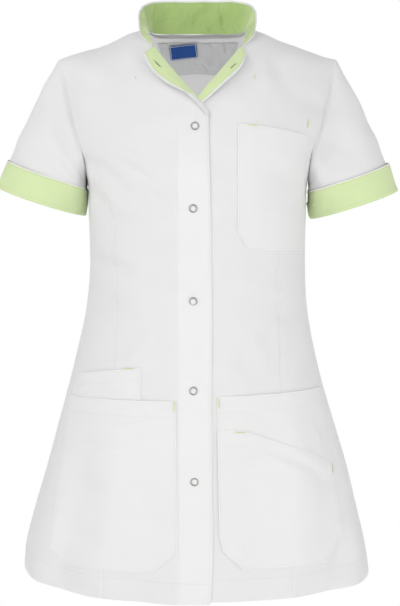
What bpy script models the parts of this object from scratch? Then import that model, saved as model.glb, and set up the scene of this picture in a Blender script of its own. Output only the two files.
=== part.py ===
"""Short-sleeved medical tunic, filled out as if worn: stand collar open in a V with turned-back
lapels, fly band closed by five ring snaps, princess seams, turned-up sleeve cuffs, one chest pocket,
two lower pockets, a phone pocket and a small outer pocket.

Metres, +Z up.  The front faces -Y and the wearer's left is +X.  The origin is midway between the
shoulders at the base of the neck, where the wearer carries the tunic.
"""
from functools import lru_cache

import bpy
import numpy as np

# ------------------------------------------------------------------ driving sizes (metres)
WALL = 0.0012            # thickness of one layer of cloth
SEAM = 0.0003            # gap left along a seam
LAY = WALL + 0.0009      # from the middle of a layer to the middle of one that lies on it
NECK_X = 0.068           # half width of the neck hole at the shoulder seam
TIP_X = 0.187            # half width across the shoulders, neck to sleeve seam
ARMPIT_Z = -0.190        # top of the side seam
SPLIT_Z = -0.156         # where the princess seam runs into the armhole
UNDER_X = -0.0220        # edge of the lower (wearer's left) front, hidden under the upper one
BAND_X = -0.0285         # inner side of the fly band
FOLD_R = LAY / 2         # radius of the turned lapel's fold
HOOD_FRONT = 0.160       # height over which the front rounds in to the shoulder
HOOD_BACK = 0.100        # the same at the back
CUFF_HIGH = 0.037        # height of the turned-up cuff
CUFF_FLARE = 0.0020      # how far the cuff's top stands off the sleeve
SNAP_R = 0.0057          # outer radius of a snap's ring
SNAP_HOLE = 0.0037       # inner radius of a snap's ring
SNAP_HIGH = 0.0012

# Body sections.  right/left = half widths to the wearer's right and left, front/back = depths from
# the side seam, square = 2 is an ellipse and more is boxier.  Millimetres.
RINGS = np.array([
    # z,   right,  left, front,  back, square
    (-770, 238.0, 237.0, 121.0, 109.0, 2.25),
    (-722, 236.8, 233.7, 121.5, 110.0, 2.25),
    (-694, 234.8, 229.5, 122.0, 111.0, 2.25),
    (-638, 221.2, 216.5, 122.5, 112.5, 2.25),
    (-583, 205.0, 203.3, 122.5, 113.0, 2.25),
    (-528, 190.2, 187.0, 121.0, 110.5, 2.25),
    (-473, 175.2, 170.5, 117.5, 104.0, 2.25),
    (-418, 161.5, 157.2, 114.0,  94.0, 2.25),
    (-364, 150.3, 148.3, 113.0,  87.0, 2.30),
    (-309, 145.4, 145.8, 117.0,  88.0, 2.35),
    (-270, 146.0, 146.0, 123.0,  93.0, 2.35),
    (-235, 147.2, 146.9, 127.0,  98.5, 2.40),
    (-190, 150.0, 150.0, 125.5, 104.0, 2.45),
    (-160, 162.5, 162.5, 120.5, 106.0, 2.50),
    (-130, 170.5, 170.5, 114.5, 106.5, 2.50),
    (-100, 176.5, 176.5, 109.0, 105.5, 2.50),
    ( -70, 183.5, 183.5, 105.5, 103.0, 2.50),
    ( -50, 188.5, 188.5, 104.0, 100.5, 2.50),
    ( -30, 194.5, 194.5, 103.0,  98.0, 2.50),
    (  30, 215.0, 215.0, 102.0,  94.0, 2.50),
])
# Height of the shoulder line over the half width.  Millimetres.
SHOULDER = np.array([
    # x,    z
    (0.0,   24.0), (30.0, 22.0), (50.0, 16.8), (68.0,  9.6), (80.0, 6.0), (90.0, 2.4),
    (104.0, -4.5), (119.0, -10.3), (134.0, -15.8), (152.0, -21.4), (168.0, -26.8),
    (187.0, -32.5), (215.0, -42.0),
])
# Front princess seam: half width over the height.  Millimetres.
PRINCESS = np.array([
    # z,    x
    (-770, 131.0), (-700, 124.0), (-600, 117.0), (-500, 112.0), (-400, 109.0), (-300, 108.0),
    (-250, 112.5), (-210, 122.5), (-180, 135.5), (-156, 154.0),
])
# Armhole seam seen from the front and from behind: half width over the height.  Millimetres.
ARMHOLE = np.array([
    # z,    front, back
    (-190.0, 150.0, 150.0), (-183.0, 149.6, 150.6), (-172.0, 150.4, 152.2), (-156.0, 154.0, 156.0),
    (-137.0, 161.0, 161.5), (-101.0, 170.0, 169.5), (-70.0, 177.3, 177.0), (-48.0, 182.6, 182.5),
    (-32.5, 187.0, 187.0),
])
# Neck seam in plan, from the centre back round to the notch: half width x and y.  Millimetres.
NECK = np.array([
    # t,   x,    y
    (0.00,  0.0,  62.0), (0.14, 24.0, 60.5), (0.28, 46.0, 54.0), (0.40, 59.5, 42.0),
    (0.52, 66.2,  22.0), (0.62, 68.0,   0.0), (0.75, 66.6, -24.0), (0.88, 63.2, -46.0),
    (1.00, 58.0, -63.5),
])
# Free edge of the collar, for the same t, as it stands.  Millimetres.
COLLAR_EDGE = np.array([
    # t,    x,    y,    z
    (0.00,  0.0,  70.0,  53.5), (0.14, 25.5, 69.0,  53.5), (0.28, 49.5,  63.5,  52.8),
    (0.40, 66.5,  52.0,  49.0), (0.52, 76.5, 31.0,  41.0), (0.62, 79.3,   9.0,  31.0),
    (0.75, 79.0, -12.0,  18.0), (0.88, 77.5, -30.0,   7.5), (1.00, 75.0, -44.5,  -3.5),
])
# Turned-back lapels.  t = share of the roll line down from the notch, x and z = free edge seen from
# the front, lift = how far that edge stands off the front.  Millimetres.
LAPEL_R = np.array([(0.00, -69.1, -33.8, 3.0), (0.25, -56.2, -56.5, 4.6), (0.50, -37.1, -73.4, 4.4), (0.75, -10.9, -87.7, 2.6), (1.00, 14.5, -114.3, 0.4)])
LAPEL_L = np.array([(0.00, 61.5, -34.5, 3.0), (0.10, 56.3, -48.5, 4.0), (0.32, 36.7, -69.7, 4.2), (0.52, 19.1, -84.6, 2.6)])
V_X, V_Z = 0.0026, -0.0850       # where the two roll lines cross
BREAK_X, BREAK_Z = 0.0145, -0.1080   # where the upper front's roll line meets its edge
LIP = 0.0022             # white edge that shows outside each green facing

# Front hem: height over |a| (0 = middle, 1 = side seam) to the wearer's right and left.  Millimetres.
HEM = np.array([
    # a,  right,  left
    (0.0, -753.0, -749.5), (0.1, -752.0, -749.0), (0.2, -749.5, -748.3), (0.3, -746.8, -746.0),
    (0.4, -744.1, -743.4), (0.5, -741.0, -741.2), (0.6, -736.9, -739.4), (0.7, -732.0, -737.6),
    (0.8, -727.5, -735.0), (0.9, -722.9, -731.5), (1.0, -719.5, -727.5),
])

# Edge of the upper front.  Millimetres.
EDGE = np.array([
    # z,    x
    (-760, 15.0), (-735, 16.5), (-673, 18.8), (-514, 18.4), (-347, 18.9), (-266, 17.7), (-199, 16.2),
    (-130, 14.8), (-108, 14.5),
])

# Snaps down the fly band: centres (metres).
SNAP_X = (-0.0031, -0.0054, -0.0055, -0.0052, -0.0038)
SNAP_Z = (-0.1266, -0.2329, -0.3541, -0.4711, -0.5900)

# Pockets as corner points, half width or x and z in millimetres, down the inner edge and down the
# outer edge.  t = share of the way down.
POCKETS = {
    # name: (side, layer, inner edge [(t, x, z)...], outer edge [(t, x, z)...], columns, rows)
    "chest_pocket": (+1, 1.4, [(0, 52.2, -122.0), (.86, 52.1, -264.8), (1, 66.0, -286.4)],
                     [(0, 147.0, -138.5), (.35, 139.5, -190.0), (1, 143.2, -289.0)], 6, 8),
    "lower_pocket_right": (-1, 1.0, [(0, -28.0, -484.5), (.86, -26.1, -684.0), (1, -58.3, -711.5)],
                           [(0, -170.5, -484.0), (.70, -189.0, -638.0), (.88, -196.0, -687.0), (1, -176.0, -706.5)], 8, 9),
    "phone_pocket_right": (-1, 1.0, [(0, -74.0, -442.0), (1, -74.0, -500.0)],
                           [(0, -161.0, -455.0), (1, -173.0, -508.0)], 4, 3),
    "lower_pocket_left": (+1, 1.0, [(0, 25.6, -479.0), (.80, 28.3, -661.0), (.90, 33.5, -683.0), (1, 58.0, -707.0)],
                          [(0, 164.0, -472.5), (.40, 180.0, -567.0), (.80, 193.6, -664.0), (.90, 186.0, -683.0), (1, 172.0, -702.0)], 8, 8),
    "small_pocket_left": (+1, 2.15, [(0, 25.9, -525.0), (.74, 28.7, -661.0), (.87, 33.9, -682.6), (1, 58.4, -706.0)],
                          [(0, 180.5, -572.0), (.20, 183.5, -598.0), (.74, 192.8, -664.0), (.87, 185.4, -682.6), (1, 171.4, -701.0)], 8, 6),
}
# Top edges that are not straight: x and z.  Millimetres.
TOPS = {"small_pocket_left": [(25.9, -525.0), (47.0, -522.5), (62.0, -523.0), (87.0, -532.5), (117.0, -543.8), (180.5, -572.0)]}

# Colours (linear) and finishes.
WHITE = (0.84, 0.84, 0.84)
LIME = (0.60, 0.78, 0.38)
STEEL = (0.62, 0.62, 0.60)
BLUE = (0.05, 0.16, 0.32)


# ------------------------------------------------------------------ smooth curves through tables
def curve(t, xs, ys):
    """Smooth cubic through (xs, ys), held constant outside."""
    xs, ys = np.asarray(xs, float), np.asarray(ys, float)
    t = np.clip(np.asarray(t, float), xs[0], xs[-1])
    m = np.gradient(ys, xs)
    i = np.clip(np.searchsorted(xs, t, side="right") - 1, 0, len(xs) - 2)
    h = xs[i + 1] - xs[i]
    s = (t - xs[i]) / h
    return ((2 * s**3 - 3 * s**2 + 1) * ys[i] + (s**3 - 2 * s**2 + s) * h * m[i]
            + (3 * s**2 - 2 * s**3) * ys[i + 1] + (s**3 - s**2) * h * m[i + 1])


def step(t, a, b):
    """0 at a, 1 at b, smooth between."""
    s = np.clip((np.asarray(t, float) - a) / (b - a), 0, 1)
    return s * s * (3 - 2 * s)


def shoulder_z(x):
    return curve(np.abs(x) * 1000, SHOULDER[:, 0], SHOULDER[:, 1]) / 1000


def ring(z, x_sign, sheet):
    """Half width, depth and squareness of the body at height z."""
    col = np.where(np.asarray(x_sign) < 0, 1, 2)
    zz = np.asarray(z) * 1000
    right, left = curve(zz, RINGS[:, 0], RINGS[:, 1]), curve(zz, RINGS[:, 0], RINGS[:, 2])
    depth = curve(zz, RINGS[:, 0], RINGS[:, 3 if sheet < 0 else 4])
    return np.where(col == 1, right, left) / 1000, depth / 1000, curve(zz, RINGS[:, 0], RINGS[:, 5])


# ------------------------------------------------------------------ the body's form
# A point of the body is named by its sheet (-1 front, +1 back), a = -1..1 across from the wearer's
# right side seam to the left one, and d = distance down from the shoulder line along the cloth.
def hood(sheet):
    return (HOOD_FRONT, 0.205, 2.0) if sheet < 0 else (HOOD_BACK, 0.150, 2.4)


def z_of(sheet, x, d):
    high, reach, p = hood(sheet)
    turn = np.clip(d / reach, 0, 1) * np.pi / 2
    fall = high * (1 - np.cos(turn) ** (2 / p))
    return shoulder_z(x) - fall - np.maximum(d - reach, 0)


def d_of(sheet, x, z):
    high, reach, p = hood(sheet)
    q = (shoulder_z(x) - z) / high
    return np.where(q < 1, reach * np.arccos(np.clip(1 - q, 0, 1) ** (p / 2)) * 2 / np.pi,
                    reach + (q - 1) * high)


def body(sheet, a, d):
    """Points of the body's middle surface."""
    a, d = np.broadcast_arrays(np.asarray(a, float), np.asarray(d, float))
    high, reach, p = hood(sheet)
    angle = np.abs(a) * np.pi / 2
    z = np.full(a.shape, -0.2)
    x = 0.15 * np.sin(angle) * np.sign(a)
    for _ in range(14):
        z = z_of(sheet, x, d)
        width, depth, n = ring(z, a, sheet)
        x = np.sign(a) * width * np.sin(angle) ** (2 / n)
    rounding = np.sin(np.clip(d / reach, 0, 1) * np.pi / 2) ** (2 / p)
    y = sheet * depth * np.clip(np.cos(angle), 0, 1) ** (2 / n) * rounding
    return np.stack([x, y, z], -1)


def across_x(sheet, a, z):
    """x of the body's point at a and height z."""
    width, _, n = ring(z, a, sheet)
    return np.sign(a) * width * np.sin(np.abs(a) * np.pi / 2) ** (2 / n)


def level(sheet, a, z):
    """Points and normals of the body at a and height z."""
    x = across_x(sheet, a, z)
    d = d_of(sheet, x, z)
    return body(sheet, a, d), outward(sheet, a, d)


def chart(sheet, x, z):
    """(a, d) of the body point at x and z."""
    x, z = np.asarray(x, float), np.asarray(z, float)
    width, _, n = ring(z, x, sheet)
    share = np.clip(np.abs(x) / width, 0, 1)
    return np.sign(x) * np.arcsin(share ** (n / 2)) * 2 / np.pi, d_of(sheet, x, z)


def outward(sheet, a, d):
    """Unit normals of the body, pointing out."""
    e = 2e-3
    a0, a1 = np.clip(a - e, -1, 1), np.clip(a + e, -1, 1)
    d0, d1 = np.maximum(d - 2e-3, 0), d + 2e-3
    u = body(sheet, a1, d) - body(sheet, a0, d)
    v = body(sheet, a, d1) - body(sheet, a, d0)
    n = np.cross(u, v) * (1 if sheet < 0 else -1) * -1
    flat = (np.abs(a) > 0.9999) | (np.asarray(d) < 1e-5)
    n[..., 1] = np.where(flat, 0, n[..., 1])
    n /= np.linalg.norm(n, axis=-1, keepdims=True)
    return n


def hem_z(sheet, a, side=0):
    """Height of the hem; the upper front hangs a little lower than the one it laps over."""
    a = np.asarray(a, float)
    col = np.where((a if side == 0 else np.full(a.shape, side)) < 0, 1, 2)
    k = np.abs(a) if side == 0 else np.clip(a * side, 0, 1)
    if sheet > 0:
        return -0.7330 + np.where(col == 1, 0.0135, 0.0055) * k ** 2.6
    return np.where(col == 1, curve(k, HEM[:, 0], HEM[:, 1]), curve(k, HEM[:, 0], HEM[:, 2])) / 1000


# ------------------------------------------------------------------ mesh makers
def solid(name, points, normals, faces, material, thick=WALL, low=None, high=None):
    """A closed wall round a sheet of triangles: thick/2 to each side along the normals."""
    points, normals = np.asarray(points, float), np.asarray(normals, float)
    low = -thick / 2 if low is None else low
    high = thick / 2 if high is None else high
    count = len(points)
    verts = np.concatenate([points + normals * high, points + normals * low])
    out = [tuple(f) for f in faces] + [tuple(count + i for i in reversed(f)) for f in faces]
    edges = {}
    for f in faces:
        for i, j in zip(f, f[1:] + f[:1]):
            edges[(i, j)] = edges.get((i, j), 0) + 1
    for (i, j) in list(edges):
        if (j, i) not in edges:
            out += [(j, i, count + i), (j, count + i, count + j)]
    return make(name, verts, out, material)


def make(name, verts, faces, material):
    mesh = bpy.data.meshes.new(name)
    mesh.from_pydata([tuple(v) for v in verts], [], [tuple(f) for f in faces])
    mesh.validate()
    mesh.update()
    mesh.materials.append(material)
    mesh.shade_smooth()
    mesh.set_sharp_from_angle(angle=np.radians(40))
    obj = bpy.data.objects.new(name, mesh)
    bpy.context.scene.collection.objects.link(obj)
    return obj


def grid_faces(rows, cols, flip=False, start=0, closed=False):
    """Triangles of a rows x cols grid of points (closed: the last column joins the first)."""
    out = []
    for i in range(rows - 1):
        for j in range(cols if closed else cols - 1):
            k = (j + 1) % cols
            p, q = start + i * cols + j, start + i * cols + k
            r, s = start + (i + 1) * cols + k, start + (i + 1) * cols + j
            # one diagonal everywhere, so that layers made from the same points stay parallel
            for f in ((p, q, r), (p, r, s)):
                out.append(tuple(reversed(f)) if flip else f)
    return out


def faces_out(points, normals, faces):
    """The faces wound so that they face along the normals."""
    total = 0.0
    for f in faces:
        a, b, c = (points[i] for i in f)
        total += float(np.dot(np.cross(b - a, c - a), normals[f[0]]))
    return faces if total > 0 else [tuple(reversed(f)) for f in faces]


def finish(name, colour, roughness, metallic=0.0):
    m = bpy.data.materials.new(name)
    m.use_nodes = True
    p = m.node_tree.nodes["Principled BSDF"]
    p.inputs["Base Color"].default_value = (*colour, 1)
    p.inputs["Roughness"].default_value = roughness
    p.inputs["Metallic"].default_value = metallic
    return m


# ------------------------------------------------------------------ shared seams
ROWS = 15                # rows from the hem to the armpit
CAP = 7                  # rows from the princess seam's top to the shoulder
CAP_BACK = 8             # rows from the armpit to the shoulder at the back
SIDE_COLS = 5
FRONT_COLS = 6
SHOULDER_COLS = 6


def princess_x(z):
    return curve(np.asarray(z) * 1000, PRINCESS[:, 0], PRINCESS[:, 1]) / 1000


def armhole(sheet, z):
    return curve(np.asarray(z) * 1000, ARMHOLE[:, 0], ARMHOLE[:, 1 if sheet < 0 else 2]) / 1000


def edge_x(z):
    """x of the upper front's edge."""
    return float(curve(z * 1000, EDGE[:, 0], EDGE[:, 1])) / 1000


def upper_lift(x, z):
    """How far the upper front stands out where it laps over the lower one."""
    return LAY * (1 - step(-x, 0.030, 0.052)) * step(-z, 0.052, 0.078)


@lru_cache(maxsize=None)
def armhole_points(side):
    """Loop of the armhole seam: shoulder tip, down the front, armpit, up the back.
    Rows of (sheet, a, d)."""
    z_tip = float(shoulder_z(TIP_X))
    out = []
    for sheet, z_from, z_to, count in ((-1, z_tip, SPLIT_Z, CAP), (-1, SPLIT_Z, ARMPIT_Z, SIDE_COLS),
                                       (1, ARMPIT_Z, z_tip, CAP_BACK)):
        # even steps along the seam: close samples first, then count of them by length
        s = np.linspace(0, 1, 161)
        ease = s**2 if z_from == z_tip else 1 - (1 - s)**2
        z = z_from + (z_to - z_from) * (ease if z_to != SPLIT_Z or z_from == z_tip else s)
        x = side * armhole(sheet, z)
        a, d = chart(sheet, x, z)
        tip = (z == z_tip)
        d = np.where(tip, 0.0, d)
        pit = (z == ARMPIT_Z)
        a = np.where(pit, side * 1.0, a)
        d = np.where(pit, side_d(sheet, side, ARMPIT_Z), d)
        p = body(sheet, a, d)
        run = np.concatenate([[0], np.cumsum(np.linalg.norm(np.diff(p, axis=0), axis=1))])
        k = np.interp(np.arange(count) / count * run[-1], run, np.arange(len(s)))
        for v in k:
            i, f = int(v), v - int(v)
            j = min(i + 1, len(s) - 1)
            out.append((sheet, float(a[i] * (1 - f) + a[j] * f), float(d[i] * (1 - f) + d[j] * f)))
    return out


def neck_plan(t):
    return curve(t, NECK[:, 0], NECK[:, 1]) / 1000, curve(t, NECK[:, 0], NECK[:, 2]) / 1000


@lru_cache(maxsize=None)
def neck_point(side, t):
    """(sheet, a, d, point, normal) on the neck seam; t = 0 centre back, 1 the notch."""
    x, y = (float(v) for v in neck_plan(t))
    sheet = 1 if y > 1e-9 else -1
    high, reach, p = hood(sheet)
    z = float(shoulder_z(x))
    for _ in range(30):
        width, depth, n = (float(v) for v in ring(z, side, sheet))
        share = min(abs(y) / (depth * (1 - (x / width) ** n) ** (1 / n)), 0.999)
        z = float(shoulder_z(x)) - high * (1 - (1 - share ** p) ** (1 / p))
    a, d = chart(sheet, side * max(x, 1e-6), z)
    if abs(y) < 1e-9:
        d = 0.0
    a, d = np.array(float(a)), np.array(float(d))
    return sheet, float(a), float(d), body(sheet, a, d), outward(sheet, a[None], d[None])[0]


NECK_T = [0.0, 0.10, 0.20, 0.29, 0.37, 0.45, 0.53, 0.62, 0.75, 0.88, 1.0]
NECK_SHOULDER = 7        # index in NECK_T of the shoulder seam (y = 0)
ROLL_ROWS = CAP - 3      # rows along the roll line; 3 more run up the neck seam


def roll_line(side):
    """x and z of the roll line's points from its lower end to the notch."""
    nx, _ = neck_plan(1.0)
    _, _, _, notch, _ = neck_point(side, 1.0)
    x1, z1 = (BREAK_X, BREAK_Z) if side < 0 else (UNDER_X, V_Z + (V_X - UNDER_X) * (V_Z - notch[2]) / (notch[0] - V_X))
    s = np.linspace(0, 1, ROLL_ROWS + 1)
    bow = 0.0015 * np.sin(s * np.pi)
    return x1 + (notch[0] - x1) * s + side * bow * 0.7, z1 + (notch[2] - z1) * s + bow * -0.7


def front_inner(side):
    """Inner edge of a front, hem to shoulder, as (a, d) rows."""
    rx, rz = roll_line(side)
    rows = []
    z_hem = float(hem_z(-1, 0.0, side))
    for i in range(ROWS):
        z = z_hem + (rz[0] - z_hem) * i / ROWS
        edge = edge_x(z) if side < 0 else UNDER_X
        rows.append(tuple(float(v) for v in chart(-1, edge, z)))
    for x, z in zip(rx, rz):
        rows.append(tuple(float(v) for v in chart(-1, x, z)))
    for t in (NECK_T[9], NECK_T[8], NECK_T[7]):
        s, a, d, _, _ = neck_point(side, t)
        rows.append((a, d))
    return rows


def front_outer(side):
    """Outer edge of a centre front: princess seam, then armhole."""
    rows = []
    z_hem = float(hem_z(-1, side * 0.55))
    for i in range(ROWS):
        z = z_hem + (SPLIT_Z - z_hem) * i / ROWS
        if i == 0:
            for _ in range(8):
                a, _d = chart(-1, side * princess_x(z), z)
                z = float(hem_z(-1, a, side))
        a, d = chart(-1, side * princess_x(z), z)
        rows.append((float(a), float(d)))
    loop = armhole_points(side)
    rows.append(loop[CAP][1:])
    for i in range(CAP - 1, -1, -1):
        rows.append(loop[i][1:])
    return rows


def inset(edge, other, gap=SEAM / 2):
    """Move each (sheet, a, d) of edge towards other by gap metres."""
    out = []
    for (s, a, d), (_, b, e) in zip(edge, other):
        p, q = body(s, np.array(a), np.array(d)), body(s, np.array(b), np.array(e))
        k = gap / max(float(np.linalg.norm(q - p)), 1e-6)
        out.append((s, a + (b - a) * k, d + (e - d) * k))
    return out


def hem_rows(sheet, a_row, d_row, share, side=0):
    """Bend the lowest rows to the curve of the hem; share = 1 on the hem and 0 further up."""
    a_row, d_row = np.asarray(a_row), np.asarray(d_row)
    z = hem_z(sheet, a_row, side)
    return d_row + share * (d_of(sheet, across_x(sheet, a_row, z), z) - d_row)


# ------------------------------------------------------------------ fronts
def front_panel(side, material):
    """Centre front with its fly band and its turned-back lapel."""
    inner, outer = front_inner(side), front_outer(side)
    rows = len(inner)
    inner_g = inset([(-1, *p) for p in inner], [(-1, *p) for p in outer], 0.0 if side else 0)
    outer_g = inset([(-1, *p) for p in outer], [(-1, *p) for p in inner])
    pts, nrm = [], []
    for i in range(rows):
        a0, d0 = inner_g[i][1:]
        a1, d1 = outer_g[i][1:]
        x0, x1 = body(-1, np.array([a0, a1]), np.array([d0, d1]))[:, 0]
        f = np.linspace(0, 1, FRONT_COLS + 1)
        if i == rows - 1:
            gap = SEAM / 2
        else:
            if side < 0:
                band = np.clip((BAND_X - x0) / (x1 - x0), 0.1, 0.6)
                g = np.concatenate([np.linspace(0, band, 3), np.linspace(band, 1, FRONT_COLS - 1)[1:]])
                w = 1 - float(step(i, ROWS - 1, ROWS + 3))
                f = f * (1 - w) + g * w
            gap = 0.0
        d = d0 + (d1 - d0) * f
        x = x0 + (x1 - x0) * f
        a, _ = chart(-1, x, z_of(-1, x, d))
        a[0], a[-1] = a0, a1
        if i < 6:
            d = hem_rows(-1, a, d, (1 - i / 6) ** 1.5, side)
        d = np.maximum(d, gap)
        p, n = body(-1, a, d), outward(-1, a, d)
        if side < 0:
            p = p + n * upper_lift(p[:, 0], p[:, 2])[:, None]
        pts.append(p)
        nrm.append(n)
    cols = FRONT_COLS + 1
    points, normals = np.concatenate(pts), np.concatenate(nrm)
    faces = grid_faces(rows, cols)
    # the turned-back lapel hangs on the rows of the roll line
    lapel = lapel_sheet(side, points, normals, cols)
    base = len(points)
    ext_p, ext_n, ext_cols, first, last = lapel
    for k, i in enumerate(range(first, last)):
        chain0 = [i * cols] + [base + k * ext_cols + c for c in range(ext_cols)]
        chain1 = [(i + 1) * cols] + [base + (k + 1) * ext_cols + c for c in range(ext_cols)]
        for c in range(ext_cols):
            # the lapel continues the sheet past its inner edge, so its quads run the other way
            faces.append((chain0[c + 1], chain0[c], chain1[c]))
            faces.append((chain0[c + 1], chain1[c], chain1[c + 1]))
    points = np.concatenate([points, ext_p])
    normals = np.concatenate([normals, ext_n])
    grid_part = grid_faces(rows, cols)
    if faces_out(points, normals, grid_part) != grid_part:
        faces = [tuple(reversed(f)) for f in faces]
    name = "front_right" if side < 0 else "front_left"
    return solid(name, points, normals, faces, material)


def lapel_frame(side, roll, normals):
    """Unit directions across the lapel, from the roll line over the front."""
    along = np.gradient(roll, axis=0)
    across = np.cross(along, normals)
    across /= np.linalg.norm(across, axis=1, keepdims=True)
    # away from the neck hole: towards the side of the garment and down
    out = np.array([side * 1.0, 0, -1.0])
    sign = np.sign(across @ out)
    return across * sign[:, None]


def over_front(side, r, t, share, up, lip=0.0):
    """Point and normal of the turned lapel at row t, share of the way from the roll to its edge."""
    table = LAPEL_R if side < 0 else LAPEL_L
    fx, fz, lift = (float(curve(t, table[:, 0], table[:, c])) / 1000 for c in (1, 2, 3))
    run = max(np.hypot(fx - r[0], fz - r[2]), 1e-6)
    k = share * max(1 - lip / run, 0.35)
    x, z = r[0] + (fx - r[0]) * k, r[2] + (fz - r[2]) * k
    a, d = chart(-1, np.array(x), np.array(z))
    p, m = body(-1, a, d), outward(-1, a[None], d[None])[0]
    if side < 0:
        up = up + float(upper_lift(x, z))
    return p + m * (up + lift * k), m


def lapel_sheet(side, points, normals, cols):
    """Points that continue a front past its roll line: round the fold and back over the front."""
    first = ROWS + (0 if side < 0 else 2)
    last = ROWS + ROLL_ROWS
    idx = [i * cols for i in range(first, last + 1)]
    roll, nrm = points[idx], normals[idx]
    across = lapel_frame(side, roll, nrm)
    out_p, out_n = [], []
    for k, i in enumerate(range(first, last + 1)):
        r, n, c = roll[k], nrm[k], across[k]
        for turn in (60, 120, 180):
            th = np.radians(turn)
            out_p.append(r - c * FOLD_R * np.sin(th) + n * FOLD_R * (1 - np.cos(th)))
            out_n.append(n * np.cos(th) + c * np.sin(th))
        for share in (0.5, 1.0):
            p, m = over_front(side, r, (last - i) / ROLL_ROWS, share, 2 * FOLD_R)
            out_p.append(p)
            out_n.append(-m)
    return np.array(out_p), np.array(out_n), 5, first, last


def facing(side, front_obj_data, material):
    """Green facing on the turned-back lapel."""
    points, normals, cols = front_obj_data
    first = ROWS + (0 if side < 0 else 2)
    last = ROWS + ROLL_ROWS
    idx = [i * cols for i in range(first, last + 1)]
    roll, nrm = points[idx], normals[idx]
    across = lapel_frame(side, roll, nrm)
    up = WALL + SEAM * 2.5
    pts, ns = [], []
    for k, i in enumerate(range(first, last + 1)):
        r, n, c = roll[k], nrm[k], across[k]
        for turn in (70, 125, 180):
            th = np.radians(turn)
            rad = FOLD_R + up
            pts.append(r + n * FOLD_R - c * rad * np.sin(th) - n * rad * np.cos(th))
            ns.append(-n * np.cos(th) - c * np.sin(th))
        for share in (0.5, 1.0):
            p, m = over_front(side, r, (last - i) / ROLL_ROWS, share, 2 * FOLD_R + up, LIP)
            pts.append(p)
            ns.append(m)
    rows = len(idx)
    pts, ns = np.array(pts), np.array(ns)
    faces = faces_out(pts, ns, grid_faces(rows, 5))
    return solid("lapel_facing_right" if side < 0 else "lapel_facing_left", pts, ns, faces, material)


def front_rows(side):
    """The inner edge's points and normals as the front panel has them (for what follows it)."""
    inner = front_inner(side)
    a = np.array([p[0] for p in inner])
    d = np.array([p[1] for p in inner])
    p, n = body(-1, a, d), outward(-1, a, d)
    if side < 0:
        p = p + n * upper_lift(p[:, 0], p[:, 2])[:, None]
    return p, n, 1


def side_panel(side, material):
    """Side front, princess seam to side seam."""
    inner = [(-1, *p) for p in front_outer(side)[:ROWS + 1]]
    loop = armhole_points(side)
    top = [loop[CAP + j] for j in range(SIDE_COLS)] + [(-1, side * 1.0, side_d(-1, side, ARMPIT_Z))]
    z_hem = float(hem_z(-1, side * 1.0))
    outer = []
    for i in range(ROWS + 1):
        z = z_hem + (ARMPIT_Z - z_hem) * i / ROWS
        a = side * 1.0
        outer.append((-1, a, float(side_d(-1, side, z))))
    inner = inset(inner, outer)
    outer = inset(outer, inner)
    pts, nrm = [], []
    for i in range(ROWS + 1):
        a0, d0 = inner[i][1:]
        a1, d1 = outer[i][1:]
        f = np.linspace(0, 1, SIDE_COLS + 1)
        a, d = a0 + (a1 - a0) * f, d0 + (d1 - d0) * f
        if i < 6:
            d = hem_rows(-1, a, d, (1 - i / 6) ** 1.5, side)
        w = max(0.0, (i - (ROWS - 5)) / 5) ** 1.5
        if w > 0:                                  # bend the last rows into the armhole
            ta = np.array([p[1] for p in top])
            td = np.array([p[2] for p in top])
            a = a + w * (ta - (ta[0] + (ta[-1] - ta[0]) * f))
            d = d + w * (td - (td[0] + (td[-1] - td[0]) * f))
        pts.append(body(-1, a, d))
        nrm.append(outward(-1, a, d))
    points, normals = np.concatenate(pts), np.concatenate(nrm)
    faces = faces_out(points, normals, grid_faces(ROWS + 1, SIDE_COLS + 1))
    return solid("side_front_right" if side < 0 else "side_front_left", points, normals, faces, material)


def side_d(sheet, side, z):
    """d of the side seam's point at height z."""
    return float(d_of(sheet, across_x(sheet, side * 1.0, z), z))


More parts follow.
